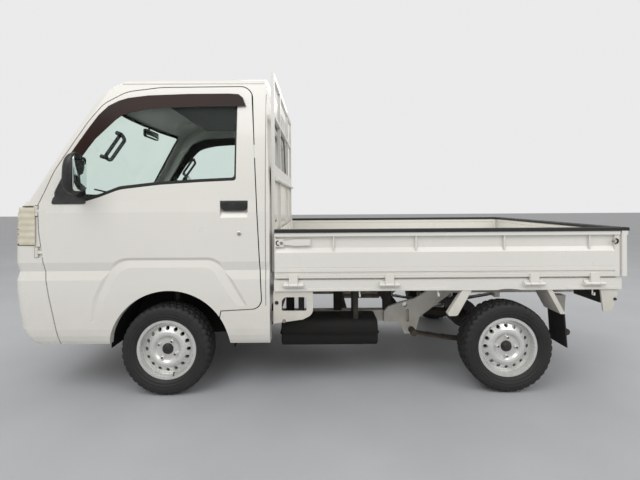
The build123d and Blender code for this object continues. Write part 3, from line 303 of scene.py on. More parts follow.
# Columns: share of the way from bead to tread, reach outward from the tyre's middle.
SIDEWALL = [(0.000, 0.0470), (0.075, 0.0470), (0.100, 0.0530), (0.180, 0.0620), (0.230, 0.0648),
            (0.245, 0.0668), (0.275, 0.0672), (0.290, 0.0662), (0.380, 0.0690), (0.395, 0.0706),
            (0.420, 0.0708), (0.435, 0.0698), (0.550, 0.0712), (0.562, 0.0722), (0.582, 0.0722),
            (0.594, 0.0710), (0.690, 0.0704), (0.765, 0.0692), (0.820, 0.0672), (0.866, 0.0648),
            (0.911, 0.0615), (0.952, 0.0560), (0.975, 0.0480), (0.985, 0.0400), (0.989, 0.0335),
            (0.926, 0.0325), (0.926, 0.0270), (0.995, 0.0260), (0.999, 0.0160), (1.000, 0.0085),
            (0.930, 0.0075), (0.930, 0.0030), (0.930, 0.0000)]
half_profile = [(bead_radius + share * tyre_height, reach) for share, reach in SIDEWALL]
tyre_profile = half_profile + [(r, -reach) for r, reach in reversed(half_profile[:-1])]
tyre_steps, steps_per_lug, side_shift = 240, 6, 2
side_ribs_from, lugs_from = 0.6, 0.84
outer_groove, shoulder, shoulder_cut, edge_cut = 0.034, 0.060, 0.0062, 0.0038
rib_inner, rib_outer, rib_top, sipe_depth = 0.0075, 0.0265, 0.2470, 0.0045
side_rib_height, zigzag = 0.0010, 0.0016
lug_start = bead_radius + lugs_from * tyre_height
rows = []
for step in range(tyre_steps):
    angle = 2 * math.pi * step / tyre_steps
    row = []
    for r, reach in tyre_profile:
        phase = (step + (side_shift if reach >= 0 else 0)) % steps_per_lug
        if abs(reach) > outer_groove and r > lug_start and phase in (0, 1):
            r -= shoulder_cut if abs(reach) < shoulder else edge_cut
        elif rib_inner < abs(reach) < rib_outer and r > rib_top and phase == 3:
            r -= sipe_depth
        on_side_rib = side_ribs_from < (r - bead_radius) / tyre_height < lugs_from and phase in (2, 3)
        if on_side_rib and abs(reach) > shoulder:
            reach += math.copysign(side_rib_height, reach)
        if 0.0 < abs(reach) < outer_groove:
            reach += zigzag if (step // 3) % 2 else -zigzag
        row.append((r * math.cos(angle), -reach, r * math.sin(angle)))
    rows.append(row)
tyre_mesh = grid_mesh("tyre", rows, closed_rows=True)

# Profiles of the turned pieces as (radius, reach).
NUT = [(0.0, 0.0150), (0.0052, 0.0150), (0.0080, 0.0125), (0.0098, 0.0105), (0.0098, 0.0), (0.0125, -0.001),
       (0.0128, -0.004)]
STUD = [(0.0, 0.021), (0.0044, 0.0205), (0.0052, 0.019), (0.0052, 0.0)]
CAP = [(0.0, 0.052), (0.010, 0.0518), (0.0200, 0.0495), (0.0250, 0.0440), (0.0270, 0.0340), (0.0305, 0.0325),
       (0.0325, 0.0295), (0.0325, 0.020)]
VALVE = [(0.0, 0.026), (0.0024, 0.026), (0.0026, 0.012), (0.0036, 0.010), (0.0042, 0.0)]
SEAM = [(0.1375, 0.0215), (0.1385, 0.0228), (0.1400, 0.0232), (0.1415, 0.0226), (0.1425, 0.0205)]
stud_count, stud_circle, stud_reach = 4, 0.052, 0.0315
valve_place = Matrix.Translation((0.137, -0.030, 0)) @ Matrix.Rotation(0.5, 4, "Z")


def wheel_piece(wheel, hub, name, mesh, material, spot=Matrix.Identity(4), sharp_degrees=32):
    """A piece drawn round the wheel's middle, carried to its hub and turning with it."""
    piece = bpy.data.objects.new(f"{wheel}_{name}", mesh.copy())
    piece.data.transform(hub @ spot)
    return settle(piece, material, wheel, sharp_degrees)


for wheel in ("wheel_fl", "wheel_fr", "wheel_rl", "wheel_rr"):
    tyre_low, tyre_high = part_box(wheel + "_tyre")
    centre = (Vector(tyre_low) + Vector(tyre_high)) / 2
    hub = Matrix.Translation(centre)
    if centre.y > 0:
        hub = hub @ Matrix.Rotation(math.pi, 4, "Z")
    hub = hub @ Matrix.Rotation(random.Random(wheel).uniform(0, 6.28), 4, "Y")
    coat_node(rim_silver, wheel + "_rim")
    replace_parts(wheel_piece(wheel, hub, "tread", tyre_mesh, tyre_rubber), wheel + "_tyre")
    wheel_piece(wheel, hub, "cap", turned_mesh("cap", CAP, 40), black_plastic)
    wheel_piece(wheel, hub, "seam", turned_mesh("seam", SEAM, 96), rim_silver)
    for stud in range(stud_count):
        angle = math.radians(45 + 360 / stud_count * stud)
        spot = Matrix.Rotation(angle, 4, "Y") @ Matrix.Translation((stud_circle, -stud_reach, 0))
        wheel_piece(wheel, hub, f"nut_{stud}", turned_mesh("nut", NUT, 6), rim_silver, spot, 25)
        wheel_piece(wheel, hub, f"stud_{stud}", turned_mesh("stud", STUD, 16), rusted_steel, spot)
    wheel_piece(wheel, hub, "valve", turned_mesh("valve", VALVE, 12), rubber, valve_place)


# ---------------------------------------------------------------- cab shell and bed panels
# Spot-welded steel pressings in the truck's solid off-white, a clear gloss over a plain warm white.
# Dust greys the sills and the bumper's foot, where the wheels throw it.
body_paint = dusted(finish("body_paint", (0.76, 0.745, 0.695), (0.735, 0.72, 0.67), patch=1.6, rough=0.30,
                           rough_spread=0.06, grain=0.03, grain_scale=700, coat=0.35),
                    (0.42, 0.37, 0.30), 0.26, 0.62, most=0.35, patch=9)
coat_node(body_paint, "roof_panel", "windscreen_pillars", "rear_panel", "cab_sills", "front_panel",
          "front_bumper", "guard_frame", "headboard", "side_sills", "rear_beam", "tailgate_panel",
          "gate_left_panel", "gate_right_panel", "door_left_panel", "door_right_panel", "bed_deck")
coat_node(black_plastic, "bumper_grille")
coat_node(rubber, "mud_flaps", "tailgate_cap", "gate_left_cap", "gate_right_cap")


# ---------------------------------------------------------------- towing eyes and front plate
# Two forged eyes on welded lugs hang under the bumper, painted black with the chassis.
# A blank number plate of pressed aluminium is screwed to the bumper's middle.
def surface_of(*names):
    """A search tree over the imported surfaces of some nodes."""
    skin = bmesh.new()
    for name in names:
        skin.from_mesh(nodes[name].data)
    tree = BVHTree.FromBMesh(skin)
    skin.free()
    return tree


def points_on(skin, axis, away, places):
    """Where lines along an axis, from outside on the away side, first meet a surface; misses are left out.

    axis is "x" for places as (y, z), or "y" for places as (x, z).
    """
    past_the_nose, past_the_side = 2.4, 1.5
    hits = []
    for u, v in places:
        if axis == "x":
            start, inward = Vector((away * past_the_nose, u, v)), Vector((-away, 0, 0))
        else:
            start, inward = Vector((u, away * past_the_side, v)), Vector((0, -away, 0))
        hits.append(skin.ray_cast(start, inward)[0])
    return [hit for hit in hits if hit is not None]


def turned(name, profile, place, direction, material, body, segments=32, sharp_degrees=32):
    """A turned piece whose reach points along direction from place."""
    piece = bpy.data.objects.new(name, turned_mesh(name, profile, segments))
    spin = Vector((0, -1, 0)).rotation_difference(Vector(direction).normalized()).to_matrix().to_4x4()
    piece.data.transform(Matrix.Translation(place) @ spin)
    return settle(piece, material, body, sharp_degrees)


EYE_RING = [(0.012, 0.008), (0.020, 0.012), (0.028, 0.008), (0.028, -0.008), (0.020, -0.012), (0.012, -0.008),
            (0.012, 0.008)]
LUG = rectangle(-1.575, 0.27, -1.545, 0.305)
eye_x, eye_y, eye_z, lug_half_thickness = -1.56, 0.36, 0.262, 0.006
for word, side in (("left", -1), ("right", 1)):
    turned(f"towing_eye_{word}", EYE_RING, (eye_x, side * eye_y, eye_z), (0, -1, 0), iron, "chassis")
    pressed_plate(f"towing_lug_{word}", LUG, side * eye_y - lug_half_thickness,
                  side * eye_y + lug_half_thickness, "y", iron, "chassis")
plate_half_width, plate_corner, plate_low, plate_high = 0.165, 0.012, 0.42, 0.585
plate_front_gap, plate_back_gap, plate_test_z = 0.006, 0.003, 0.55
plate_white = finish("plate_blank", (0.66, 0.66, 0.64), (0.60, 0.60, 0.58), patch=8, rough=0.4)
bumper_x = points_on(surface_of("front_bumper", "bumper_grille"), "x", -1, [(0.0, plate_test_z)])[0].x
pressed_plate("front_plate_blank",
              rounded(rectangle(-plate_half_width, plate_low, plate_half_width, plate_high), plate_corner),
              bumper_x - plate_front_gap, bumper_x - plate_back_gap, "x", plate_white, "chassis")


# ---------------------------------------------------------------- glass and its rubber
# Toughened side glass and a laminated screen, faintly green, held in black rubber round each opening.
# The side glass runs in the door's channels; screen and rear window sit in the rubber alone.
def dense(outline, step):
    """Points round a closed outline no further apart than step."""
    points = []
    for index, corner in enumerate(outline):
        start, end = Vector(corner), Vector(outline[(index + 1) % len(outline)])
        parts = max(1, math.ceil((end - start).length / step))
        points += [start.lerp(end, part / parts) for part in range(parts)]
    return points


def close_skin(mesh, fill=True, triangles=False):
    """Fills a mesh's open ends and turns its faces outward."""
    skin = bmesh.new()
    skin.from_mesh(mesh)
    if fill:
        bmesh.ops.holes_fill(skin, edges=[edge for edge in skin.edges if edge.is_boundary])
    if triangles:
        bmesh.ops.triangulate(skin, faces=skin.faces)
    bmesh.ops.recalc_face_normals(skin, faces=skin.faces)
    skin.to_mesh(mesh)
    skin.free()


def strip(name, path, profile, material, body, up=Vector((0, -1, 0)), closed=True):
    """A strip of constant section along a path; profile is (side, out) with out along up."""
    rows = []
    count = len(path)
    for index, point in enumerate(path):
        before = path[index - 1] if closed or index else path[0]
        after = path[(index + 1) % count] if closed or index < count - 1 else path[-1]
        along = (Vector(after) - Vector(before)).normalized()
        out = (up - along * up.dot(along)).normalized()
        side = along.cross(out).normalized()
        rows.append([Vector(point) + side * s + out * o for s, o in profile])
    piece = bpy.data.objects.new(name, grid_mesh(name, rows, closed_rows=closed, closed_columns=True))
    close_skin(piece.data, fill=not closed)
    return settle(piece, material, body, 40)


def rubber_round(name, outline, step, axis, away, skin, body, width):
    """Black rubber along an outline, laid on the surface that it holds."""
    buried, proud = -0.004, 0.003
    section = [(-width, buried), (-width * 0.8, proud * 0.8), (0.0, proud), (width * 0.8, proud * 0.8),
               (width, buried)]
    up = Vector((away, 0, 0)) if axis == "x" else Vector((0, away, 0))
    strip(name, points_on(skin, axis, away, dense(outline, step)), section, rubber, body, up)


cabin_glass = finish("cabin_glass", (0.86, 0.93, 0.89), (0.84, 0.91, 0.88), patch=2, rough=0.02,
                     rough_spread=0.01)
set_inputs(cabin_glass.node_tree.nodes["Principled BSDF"], Transmission_Weight=1.0, IOR=1.12)
coat_node(cabin_glass, "cab_glass", "door_left_glass", "door_right_glass")

DOOR_WINDOW = [(-0.468, 1.590), (-0.470, 1.196), (-0.666, 1.188), (-0.890, 1.175), (-1.108, 1.151),
               (-1.216, 1.110), (-1.300, 1.088), (-1.440, 1.084), (-1.452, 1.12), (-1.392, 1.262),
               (-1.252, 1.486), (-1.165, 1.596), (-1.058, 1.642), (-0.850, 1.654), (-0.470, 1.656)]
SCREEN = [(-0.622, 1.118), (0.622, 1.118), (0.572, 1.649), (-0.572, 1.649)]
REAR_WINDOW = [(-0.484, 1.252), (0.484, 1.252), (0.464, 1.594), (-0.464, 1.594)]
screen_skin = surface_of("cab_glass")
for word, away in (("left", -1), ("right", 1)):
    rubber_round(f"door_{word}_window_rubber", rounded(DOOR_WINDOW, 0.03), 0.015, "y", away,
                 surface_of(f"door_{word}_glass"), f"door_{word}", 0.010)
rubber_round("windscreen_rubber", rounded(SCREEN, 0.06), 0.02, "x", -1, screen_skin, "chassis", 0.014)
rubber_round("rear_window_rubber", rounded(REAR_WINDOW, 0.05), 0.02, "x", 1, screen_skin, "chassis", 0.014)


# ---------------------------------------------------------------- visors, mirrors and handles
# Dark red-brown acrylic rain visors are stuck over the door windows. Each mirror is a black moulded shell on
# a short arm, screwed to a sail plate at the window's front corner. Handles and key cylinders are set in.
def round_section(radius, flat=1.0, sides=10):
    """A round or oval strip section."""
    angles = [2 * math.pi * i / sides for i in range(sides)]
    return [(radius * math.cos(angle), flat * radius * math.sin(angle)) for angle in angles]


visor_acrylic = finish("visor_acrylic", (0.020, 0.010, 0.008), (0.032, 0.014, 0.010), patch=4, rough=0.22,
                       rough_spread=0.05)
set_inputs(visor_acrylic.node_tree.nodes["Principled BSDF"], Specular_IOR_Level=0.12)
chrome = finish("chrome", (0.62, 0.62, 0.60), (0.56, 0.56, 0.54), patch=10, rough=0.12, rough_spread=0.05,
                metallic=1.0)
mirror_silver = finish("mirror_silver", (0.72, 0.78, 0.76), (0.68, 0.75, 0.73), patch=3, rough=0.04,
                       rough_spread=0.02, metallic=1.0)
coat_node(visor_acrylic, "door_left_visor", "door_right_visor")
coat_node(black_plastic, "door_left_trim", "door_right_trim")
mirror_foot, mirror_height, mirror_x, mirror_lean = 1.112, 0.222, -1.292, 0.012
mirror_front, mirror_back, mirror_y, mirror_half_width = 0.040, 0.030, 0.822, 0.066
mirror_levels, mirror_sides, squareness, end_sharpness, least_pinch = 15, 28, 0.7, 3.2, 0.06
glass_inner_y, glass_outer_y, glass_low, glass_high, glass_corner = 0.768, 0.876, 1.130, 1.312, 0.024
glass_front_x, glass_back_x = -1.262, -1.2565
MIRROR_ARM = [(-1.330, 0.716, 1.115), (-1.318, 0.745, 1.125), (-1.300, 0.790, 1.150)]
SAIL = rounded([(-1.478, 1.063), (-1.288, 1.063), (-1.300, 1.140), (-1.318, 1.250), (-1.345, 1.330),
                (-1.398, 1.240), (-1.445, 1.165)], 0.012, 3)
sail_foot, sail_proud, sail_buried, sail_lean = 1.075, 0.004, -0.006, 0.09
HANDLE = rounded(rectangle(-0.551, 1.022, -0.406, 1.0735), [0.022, 0.022, 0.010, 0.010])
KEY = [(0.0, 0.004), (0.009, 0.004), (0.0115, 0.0025), (0.012, -0.004)]
KEY_SLOT_SHADE = rectangle(-0.4505, 0.889, -0.4475, 0.903)
handle_inner_y, handle_outer_y = 0.7135, 0.7245
key_x, key_y, key_z, slot_inner_y, slot_outer_y = -0.449, 0.7305, 0.896, 0.734, 0.7352


def squared(value):
    """A sine or cosine pushed outward, so that a ring becomes a box with round corners."""
    return math.copysign(abs(value) ** squareness, value)


for word, away in (("left", -1), ("right", 1)):
    door = f"door_{word}"
    housing_rows = []
    for level in range(mirror_levels):
        share = level / (mirror_levels - 1)
        pinch = max(least_pinch, 1 - abs(2 * share - 1) ** end_sharpness) ** 0.5
        ring = []
        for part in range(mirror_sides):
            angle = 2 * math.pi * part / mirror_sides
            along, across = squared(math.cos(angle)), squared(math.sin(angle))
            depth = mirror_front if along < 0 else mirror_back
            ring.append((mirror_x + mirror_lean * share + along * depth * pinch,
                         away * (mirror_y + across * mirror_half_width * pinch),
                         mirror_foot + mirror_height * share))
        housing_rows.append(ring)
    housing = bpy.data.objects.new(f"{door}_mirror", grid_mesh("mirror", housing_rows, closed_columns=True))
    close_skin(housing.data)
    settle(housing, black_plastic, door, 50)
    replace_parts(housing, f"{door}_trim")
    mirror_glass = rectangle(away * glass_inner_y, glass_low, away * glass_outer_y, glass_high)
    pressed_plate(f"{door}_mirror_glass", rounded(mirror_glass, glass_corner), glass_front_x, glass_back_x,
                  "x", mirror_silver, door)
    arm = [Vector((x, away * y, z)) for x, y, z in MIRROR_ARM]
    strip(f"{door}_mirror_arm", arm, round_section(0.020, 0.8, 16), black_plastic, door, Vector((0, 0, 1)),
          closed=False)

    sail_skin = surface_of(f"{door}_panel", f"{door}_glass")
    sail_y = points_on(sail_skin, "y", away, [(-1.40, sail_foot)])[0].y
    sail_rows = []
    for lift in (sail_proud, sail_buried):
        row = []
        for x, z in dense(SAIL, 0.02):
            hits = points_on(sail_skin, "y", away, [(x, z)])
            y = hits[0].y if hits else sail_y - away * (z - sail_foot) * sail_lean
            row.append((x, y + away * lift, z))
        sail_rows.append(row)
    plate = bpy.data.objects.new(f"{door}_sail_plate", grid_mesh("sail", sail_rows, closed_columns=True))
    close_skin(plate.data, triangles=True)
    settle(plate, black_plastic, door, 50)

    pressed_plate(f"{door}_handle_plate", HANDLE, *sorted((away * handle_inner_y, away * handle_outer_y)),
                  "y", black_plastic, door, edge=0.003, rounds=3)
    turned(f"{door}_key", KEY, (key_x, away * key_y, key_z), (0, away, 0), chrome, door, segments=28)
    # The key slot is a thin black plate on the cylinder's face: painted shade standing for the keyway's
    # opening.
    pressed_plate(f"{door}_key_slot_shade", KEY_SLOT_SHADE, *sorted((away * slot_inner_y, away * slot_outer_y)), "y",
                  black_plastic, door, edge=0)


# ---------------------------------------------------------------- headlamps
# A clear moulded lens over a bright reflector, screwed to the nose between the screen and the bumper.
# Rubber seals it above and below, a bright bar crosses its upper part and two dark bars its lower part.
def spread(first, last, count):
    """Evenly spaced values from first to last."""
    return [first + (last - first) * step / (count - 1) for step in range(count)]


lens = finish("lamp_lens", (0.62, 0.57, 0.44), (0.70, 0.66, 0.55), patch=26, rough=0.16, rough_spread=0.05,
              coat=0.8)
lens_tree = lens.node_tree
lens_place = lens_tree.nodes.new("ShaderNodeTexCoord")
flutes = lens_tree.nodes.new("ShaderNodeTexWave")
flutes.bands_direction = "Z"
set_inputs(flutes, Scale=9.0, Distortion=0.4)
lens_tree.links.new(lens_place.outputs["Object"], flutes.inputs["Vector"])
flute_bump = lens_tree.nodes.new("ShaderNodeBump")
set_inputs(flute_bump, Strength=0.5, Distance=0.004)
lens_tree.links.new(flutes.outputs["Fac"], flute_bump.inputs["Height"])
lens_tree.links.new(flute_bump.outputs["Normal"], lens_tree.nodes["Principled BSDF"].inputs["Normal"])
coat_node(lens, "headlamps")
lamp_skin = surface_of("headlamps")
# Columns: foot, top, material.
LAMP_BARS = [(0.838, 0.846, rubber), (0.898, 0.903, iron), (0.925, 0.930, iron), (0.965, 0.992, chrome),
             (1.046, 1.053, rubber)]
bar_buried, bar_proud, bar_least_step = -0.002, 0.0008, 0.002
lens_wing_y, lens_wing_slope, lens_wing_root = 0.7312, 0.07, -1.66
for word, away in (("left", -1), ("right", 1)):
    for index, (low, high, material) in enumerate(LAMP_BARS):
        level, half = (low + high) / 2, (high - low) / 2
        path = points_on(lamp_skin, "x", -1, [(away * y, level) for y in spread(0.44, 0.725, 26)])
        path += points_on(lamp_skin, "y", away, [(x, level) for x in spread(-1.655, -1.565, 12)])
        path = [p for i, p in enumerate(path) if i == 0 or (p - path[i - 1]).length > bar_least_step]
        section = [(-half, bar_buried), (-half, bar_proud), (half, bar_proud), (half, bar_buried)]
        strip(f"headlamp_{word}_line_{index}", path, section, material, "chassis",
              Vector((-0.7, away * 0.7, 0)), closed=False)

    wing_rows = []
    for x in (-1.648, -1.620, -1.590, -1.558):
        wing_y = away * (lens_wing_y + lens_wing_slope * (x - lens_wing_root))
        wing_rows.append([(x, wing_y, z) for z in (0.842, 0.87, 0.90, 0.94, 0.98, 1.02, 1.046)])
    wing = bpy.data.objects.new(f"headlamp_{word}_wing", grid_mesh("wing", wing_rows))
    scene.collection.objects.link(wing)
    thick = wing.modifiers.new("thick", "SOLIDIFY")
    thick.thickness = 0.002
    thick.offset = 0
    apply_modifiers(wing)
    settle(wing, lens, "chassis", 30)

# ---------------------------------------------------------------- wipers
# Two black steel wiper arms with rubber blades rest on the screen's foot.
# Each is held by a splined spindle that comes through the cowl.
WIPER_BLADE = [(-0.004, -0.006), (-0.004, 0.004), (0.004, 0.004), (0.002, -0.006)]
WIPER_SPINDLE = [(0.0, 0.026), (0.010, 0.026), (0.013, 0.020), (0.015, -0.012)]
arm_off_glass, blade_off_arm, spindle_drop = Vector((-0.018, 0, 0.006)), Vector((0.012, 0, -0.002)), 0.012
screen_edge_y, wiper_steps = -0.6, 9
up_the_screen = Vector((-1, 0, 0.5))
# Columns: across the cab, the spindle and the arm's two ends.
for index, (pivot_y, near_y, far_y) in enumerate(((-0.30, -0.34, -0.74), (0.33, 0.33, -0.09))):
    pivot = points_on(screen_skin, "x", -1, [(pivot_y, 1.125)])[0]
    places = [(max(screen_edge_y, y), z) for y, z in zip(spread(near_y, far_y, wiper_steps),
                                                         spread(1.128, 1.163, wiper_steps))]
    path = [point + arm_off_glass for point in points_on(screen_skin, "x", -1, places)]
    strip(f"wiper_arm_{index}", path, round_section(0.006, 0.7), black_plastic, "chassis", up_the_screen,
          closed=False)
    strip(f"wiper_blade_{index}", [point + blade_off_arm for point in path], WIPER_BLADE, rubber, "chassis",
          up_the_screen, closed=False)
    turned(f"wiper_spindle_{index}", WIPER_SPINDLE, pivot - Vector((0, 0, spindle_drop)), (-0.8, 0, 0.6),
           black_plastic, "chassis", segments=24)

# ---------------------------------------------------------------- body seams and small trim
# Folded steel lips and beads along the shell's, sills' and gates' edges, painted with the body.
# Sealer fills the corner seams, and a cross tube finishes the guard frame behind the cab; the frame's slots
# are dark plates, painted shade where its openings are.
seam_sealer = finish("seam_sealer", (0.30, 0.29, 0.27), (0.24, 0.23, 0.21), patch=30, rough=0.6)
shell_skin = surface_of("roof_panel", "rear_panel", "windscreen_pillars")
DRIP_RAIL = [(-0.005, -0.003), (-0.005, 0.002), (0.0, 0.0035), (0.005, 0.002), (0.005, -0.003)]
CORNER_SEAM = [(-0.002, -0.002), (-0.002, 0.0006), (0.002, 0.0006), (0.002, -0.002)]
SILL_LIP = [(-0.007, -0.002), (-0.006, 0.002), (0.006, 0.002), (0.007, -0.002)]
GATE_BEAD = [(-0.0016, -0.001), (0.0, 0.0014), (0.0016, -0.001)]
drip_z, seam_x, lip_y, lip_z, bead_y, bead_z, bead_pitch = 1.745, -0.306, 0.7165, 0.581, 0.7262, 0.662, 0.012
for word, away in (("left", -1), ("right", 1)):
    outward = Vector((0, away, 0))
    drip = points_on(shell_skin, "y", away, [(x, drip_z) for x in spread(-1.12, -0.32, 60)])
    strip(f"roof_drip_rail_{word}", drip, DRIP_RAIL, body_paint, "chassis", outward, closed=False)
    corner = points_on(shell_skin, "y", away, [(seam_x, z) for z in spread(0.50, 1.70, 50)])
    strip(f"rear_corner_seam_{word}", corner, CORNER_SEAM, seam_sealer, "chassis", outward, closed=False)
    for end, lip_x in (("front", (-0.255, 0.3, 0.70)), ("rear", (1.36, 1.5, 1.64))):
        lip = [Vector((x, away * lip_y, lip_z)) for x in lip_x]
        strip(f"sill_lip_{end}_{word}", lip, SILL_LIP, body_paint, "chassis", outward, closed=False)
    for bead in range(2):
        ends = [Vector((x, away * bead_y, bead_z + bead * bead_pitch)) for x in (-0.25, 1.64)]
        strip(f"gate_{word}_bead_{bead}", ends, GATE_BEAD, body_paint, f"gate_{word}", outward, closed=False)
first_slot_y, slot_pitch, slot_width, slot_low, slot_high = -0.60, 0.026, 0.012, 0.945, 0.962
slot_front, slot_back, tube_x, tube_z = -0.2762, -0.2752, -0.253, 1.20
# Each slot is a thin dark plate on the guard's face: painted shade standing for the opening.
for slot in range(6):
    slot_y = first_slot_y + slot * slot_pitch
    slot_shade_outline = rounded(rectangle(slot_y, slot_low, slot_y + slot_width, slot_high), 0.004, 2)
    pressed_plate(f"guard_slot_shade_{slot}", slot_shade_outline, slot_front, slot_back, "x", iron, "chassis", edge=0)
for word, away in (("left", -1), ("right", 1)):
    tube = [Vector((tube_x, away * y, tube_z)) for y in (0.03, 0.64)]
    strip(f"guard_cross_tube_{word}", tube, round_section(0.011), body_paint, "chassis", Vector((1, 0, 0)),
          closed=False)

# ---------------------------------------------------------------- cabin
# Grey moulded dash and steering wheel, a ribbed rubber floor, and a dark headlining clipped under the roof.
# Grab handles are screwed to the pillars, the inside mirror hangs from the roof and the pedals from the dash.
interior = finish("interior_plastic", (0.060, 0.060, 0.062), (0.085, 0.085, 0.088), patch=20, rough=0.6,
                  rough_spread=0.08, grain=0.35, grain_scale=900)
floor_mat = finish("floor_mat", (0.030, 0.030, 0.032), (0.050, 0.050, 0.050), patch=30, rough=0.8,
                   rough_spread=0.1, grain=0.4, grain_scale=500)
headlining = finish("headlining", (0.10, 0.105, 0.10), (0.12, 0.125, 0.12), patch=12, rough=0.85,
                    rough_spread=0.05, grain=0.5, grain_scale=1200)
coat_node(interior, "dashboard", "steering_wheel")
coat_node(floor_mat, "cab_floor")
headlining_low, headlining_high = 1.716, 1.722
pressed_plate("headlining", rounded(rectangle(-1.02, -0.60, -0.345, 0.60), 0.05), headlining_low,
              headlining_high, "z", headlining, "chassis")

grab_y, foot_y, grab_tube, foot_tube = 0.615, 0.652, 0.010, 0.012
GRAB_HANDLE = rounded([(-1.245, 1.335), (-1.215, 1.310), (-1.130, 1.430), (-1.150, 1.470)], 0.02, 5)
for word, side in (("left", -1), ("right", 1)):
    strip(f"grab_handle_{word}", [Vector((x, side * grab_y, z)) for x, z in dense(GRAB_HANDLE, 0.02)],
          round_section(grab_tube, 1.0, 12), interior, "chassis", Vector((0, -side, 0)))
    for end, x, z in (("low", -1.238, 1.330), ("high", -1.150, 1.462)):
        strip(f"grab_foot_{word}_{end}",
              [Vector((x, side * grab_y, z)), Vector((x - 0.006, side * foot_y, z + 0.004))],
              round_section(foot_tube), interior, "chassis", Vector((1, 0, 0)), closed=False)

shell_front, shell_back, mirror_face, stalk_foot_z = -1.262, -1.246, -1.2445, 1.595
STALK = [(0.0055, 0.05), (0.0055, -0.002)]
pressed_plate("inside_mirror", rounded(rectangle(-0.11, 1.545, 0.11, 1.602), 0.02), shell_front, shell_back,
              "x", black_plastic, "chassis")
pressed_plate("inside_mirror_glass", rounded(rectangle(-0.102, 1.552, 0.102, 1.595), 0.017), shell_back,
              mirror_face, "x", mirror_silver, "chassis")
turned("inside_mirror_stalk", STALK, (shell_front, 0, stalk_foot_z), (-0.35, 0, 0.94), black_plastic,
       "chassis", segments=14)

GEAR_KNOB = [(0.0, 0.028), (0.014, 0.025), (0.021, 0.014), (0.021, 0.002), (0.012, -0.012), (0.008, -0.02)]
gear_y = 0.02
gear_path = [Vector((x, gear_y, z)) for x, z in ((-1.02, 0.47), (-1.03, 0.60), (-1.05, 0.74))]
strip("gear_lever", gear_path, round_section(0.008), iron, "chassis", Vector((1, 0, 0.2)), closed=False)
turned("gear_knob", GEAR_KNOB, (-1.05, gear_y, 0.748), (0, 0, 1), black_plastic, "chassis", segments=24)

pedal_half_width, pedal_low, pedal_high, pedal_front, pedal_back = 0.028, 0.560, 0.620, -1.372, -1.360
for index, pedal_y in enumerate((0.24, 0.34, 0.44)):
    pad = rectangle(pedal_y - pedal_half_width, pedal_low, pedal_y + pedal_half_width, pedal_high)
    pressed_plate(f"pedal_{index}", rounded(pad, 0.008), pedal_front, pedal_back, "x", rubber, "chassis")
    arm = [Vector((x, pedal_y, z)) for x, z in ((pedal_front, 0.60), (-1.40, 0.70), (-1.405, 0.775))]
    strip(f"pedal_arm_{index}", arm, round_section(0.006), iron, "chassis", Vector((1, 0, 0)), closed=False)

# ---------------------------------------------------------------- seats
# Two seats on a steel deck: foam squab and back in one grey woven cloth cover, pulled tight underneath.
# A short cloth run blows the cover up over the foam blocks, so its faces crown and its edges round off.
seat_cloth = finish("seat_cloth", (0.085, 0.087, 0.095), (0.13, 0.13, 0.14), patch=120, rough=0.9,
                    rough_spread=0.05, grain=0.7, grain_scale=1400)
coat_node(seat_cloth, "seats")
block_size, quick_block_size = 0.008, 0.010
cloth_frames, air_pressure, furthest_swell = 20, 4.0, 0.022
seat = bpy.data.objects.new("seat_cushions", nodes["seats"].data.copy())
scene.collection.objects.link(seat)
blocks = seat.modifiers.new("blocks", "REMESH")
blocks.mode = "VOXEL"
blocks.voxel_size = block_size
apply_modifiers(seat)
rest_points = [vertex.co.copy() for vertex in seat.data.vertices]
cloth = seat.modifiers.new("cloth", "CLOTH")
cloth.settings.quality = 3
cloth.settings.uniform_pressure_force = air_pressure
cloth.settings.use_pressure = True
cloth.settings.effector_weights.gravity = 0
for frame_number in range(1, cloth_frames + 1):
    scene.frame_set(frame_number)
apply_modifiers(seat)
scene.frame_set(1)
for vertex, start in zip(seat.data.vertices, rest_points):
    moved = vertex.co - start
    if moved.length > furthest_swell:
        vertex.co = start + moved.normalized() * furthest_swell
settle(seat, seat_cloth, "chassis", 60)
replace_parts(seat, "seats")


# ---------------------------------------------------------------- drop sides and bed fittings
# Folded steel gates swing on painted leaf hinges along the sill, two leaves to each hinge.
# A black hook and a zinc bolt hold each end of a gate, and bolts hold the brackets under the bed.
def bolt(name, place, direction, size, material, body):
    """A hexagon bolt head on a round washer."""
    head = [(0.0, size * 0.62), (size * 0.78, size * 0.60), (size * 0.98, size * 0.50), (size, 0.0012)]
    washer = [(size * 0.5, 0.0014), (size * 1.45, 0.0012), (size * 1.5, -0.001)]
    turned(name + "_head", head, place, direction, material, body, segments=6, sharp_degrees=25)
    turned(name + "_washer", washer, place, direction, material, body, segments=24)


zinc = finish("zinc_plate", (0.42, 0.40, 0.34), (0.30, 0.26, 0.20), patch=60, rough=0.42, rough_spread=0.12,
              metallic=0.8, grain=0.2, grain_scale=500)
leaf_paint = finish("latch_paint", (0.78, 0.77, 0.73), (0.70, 0.69, 0.65), patch=30, rough=0.35,
                    rough_spread=0.08, grain=0.1, grain_scale=400)
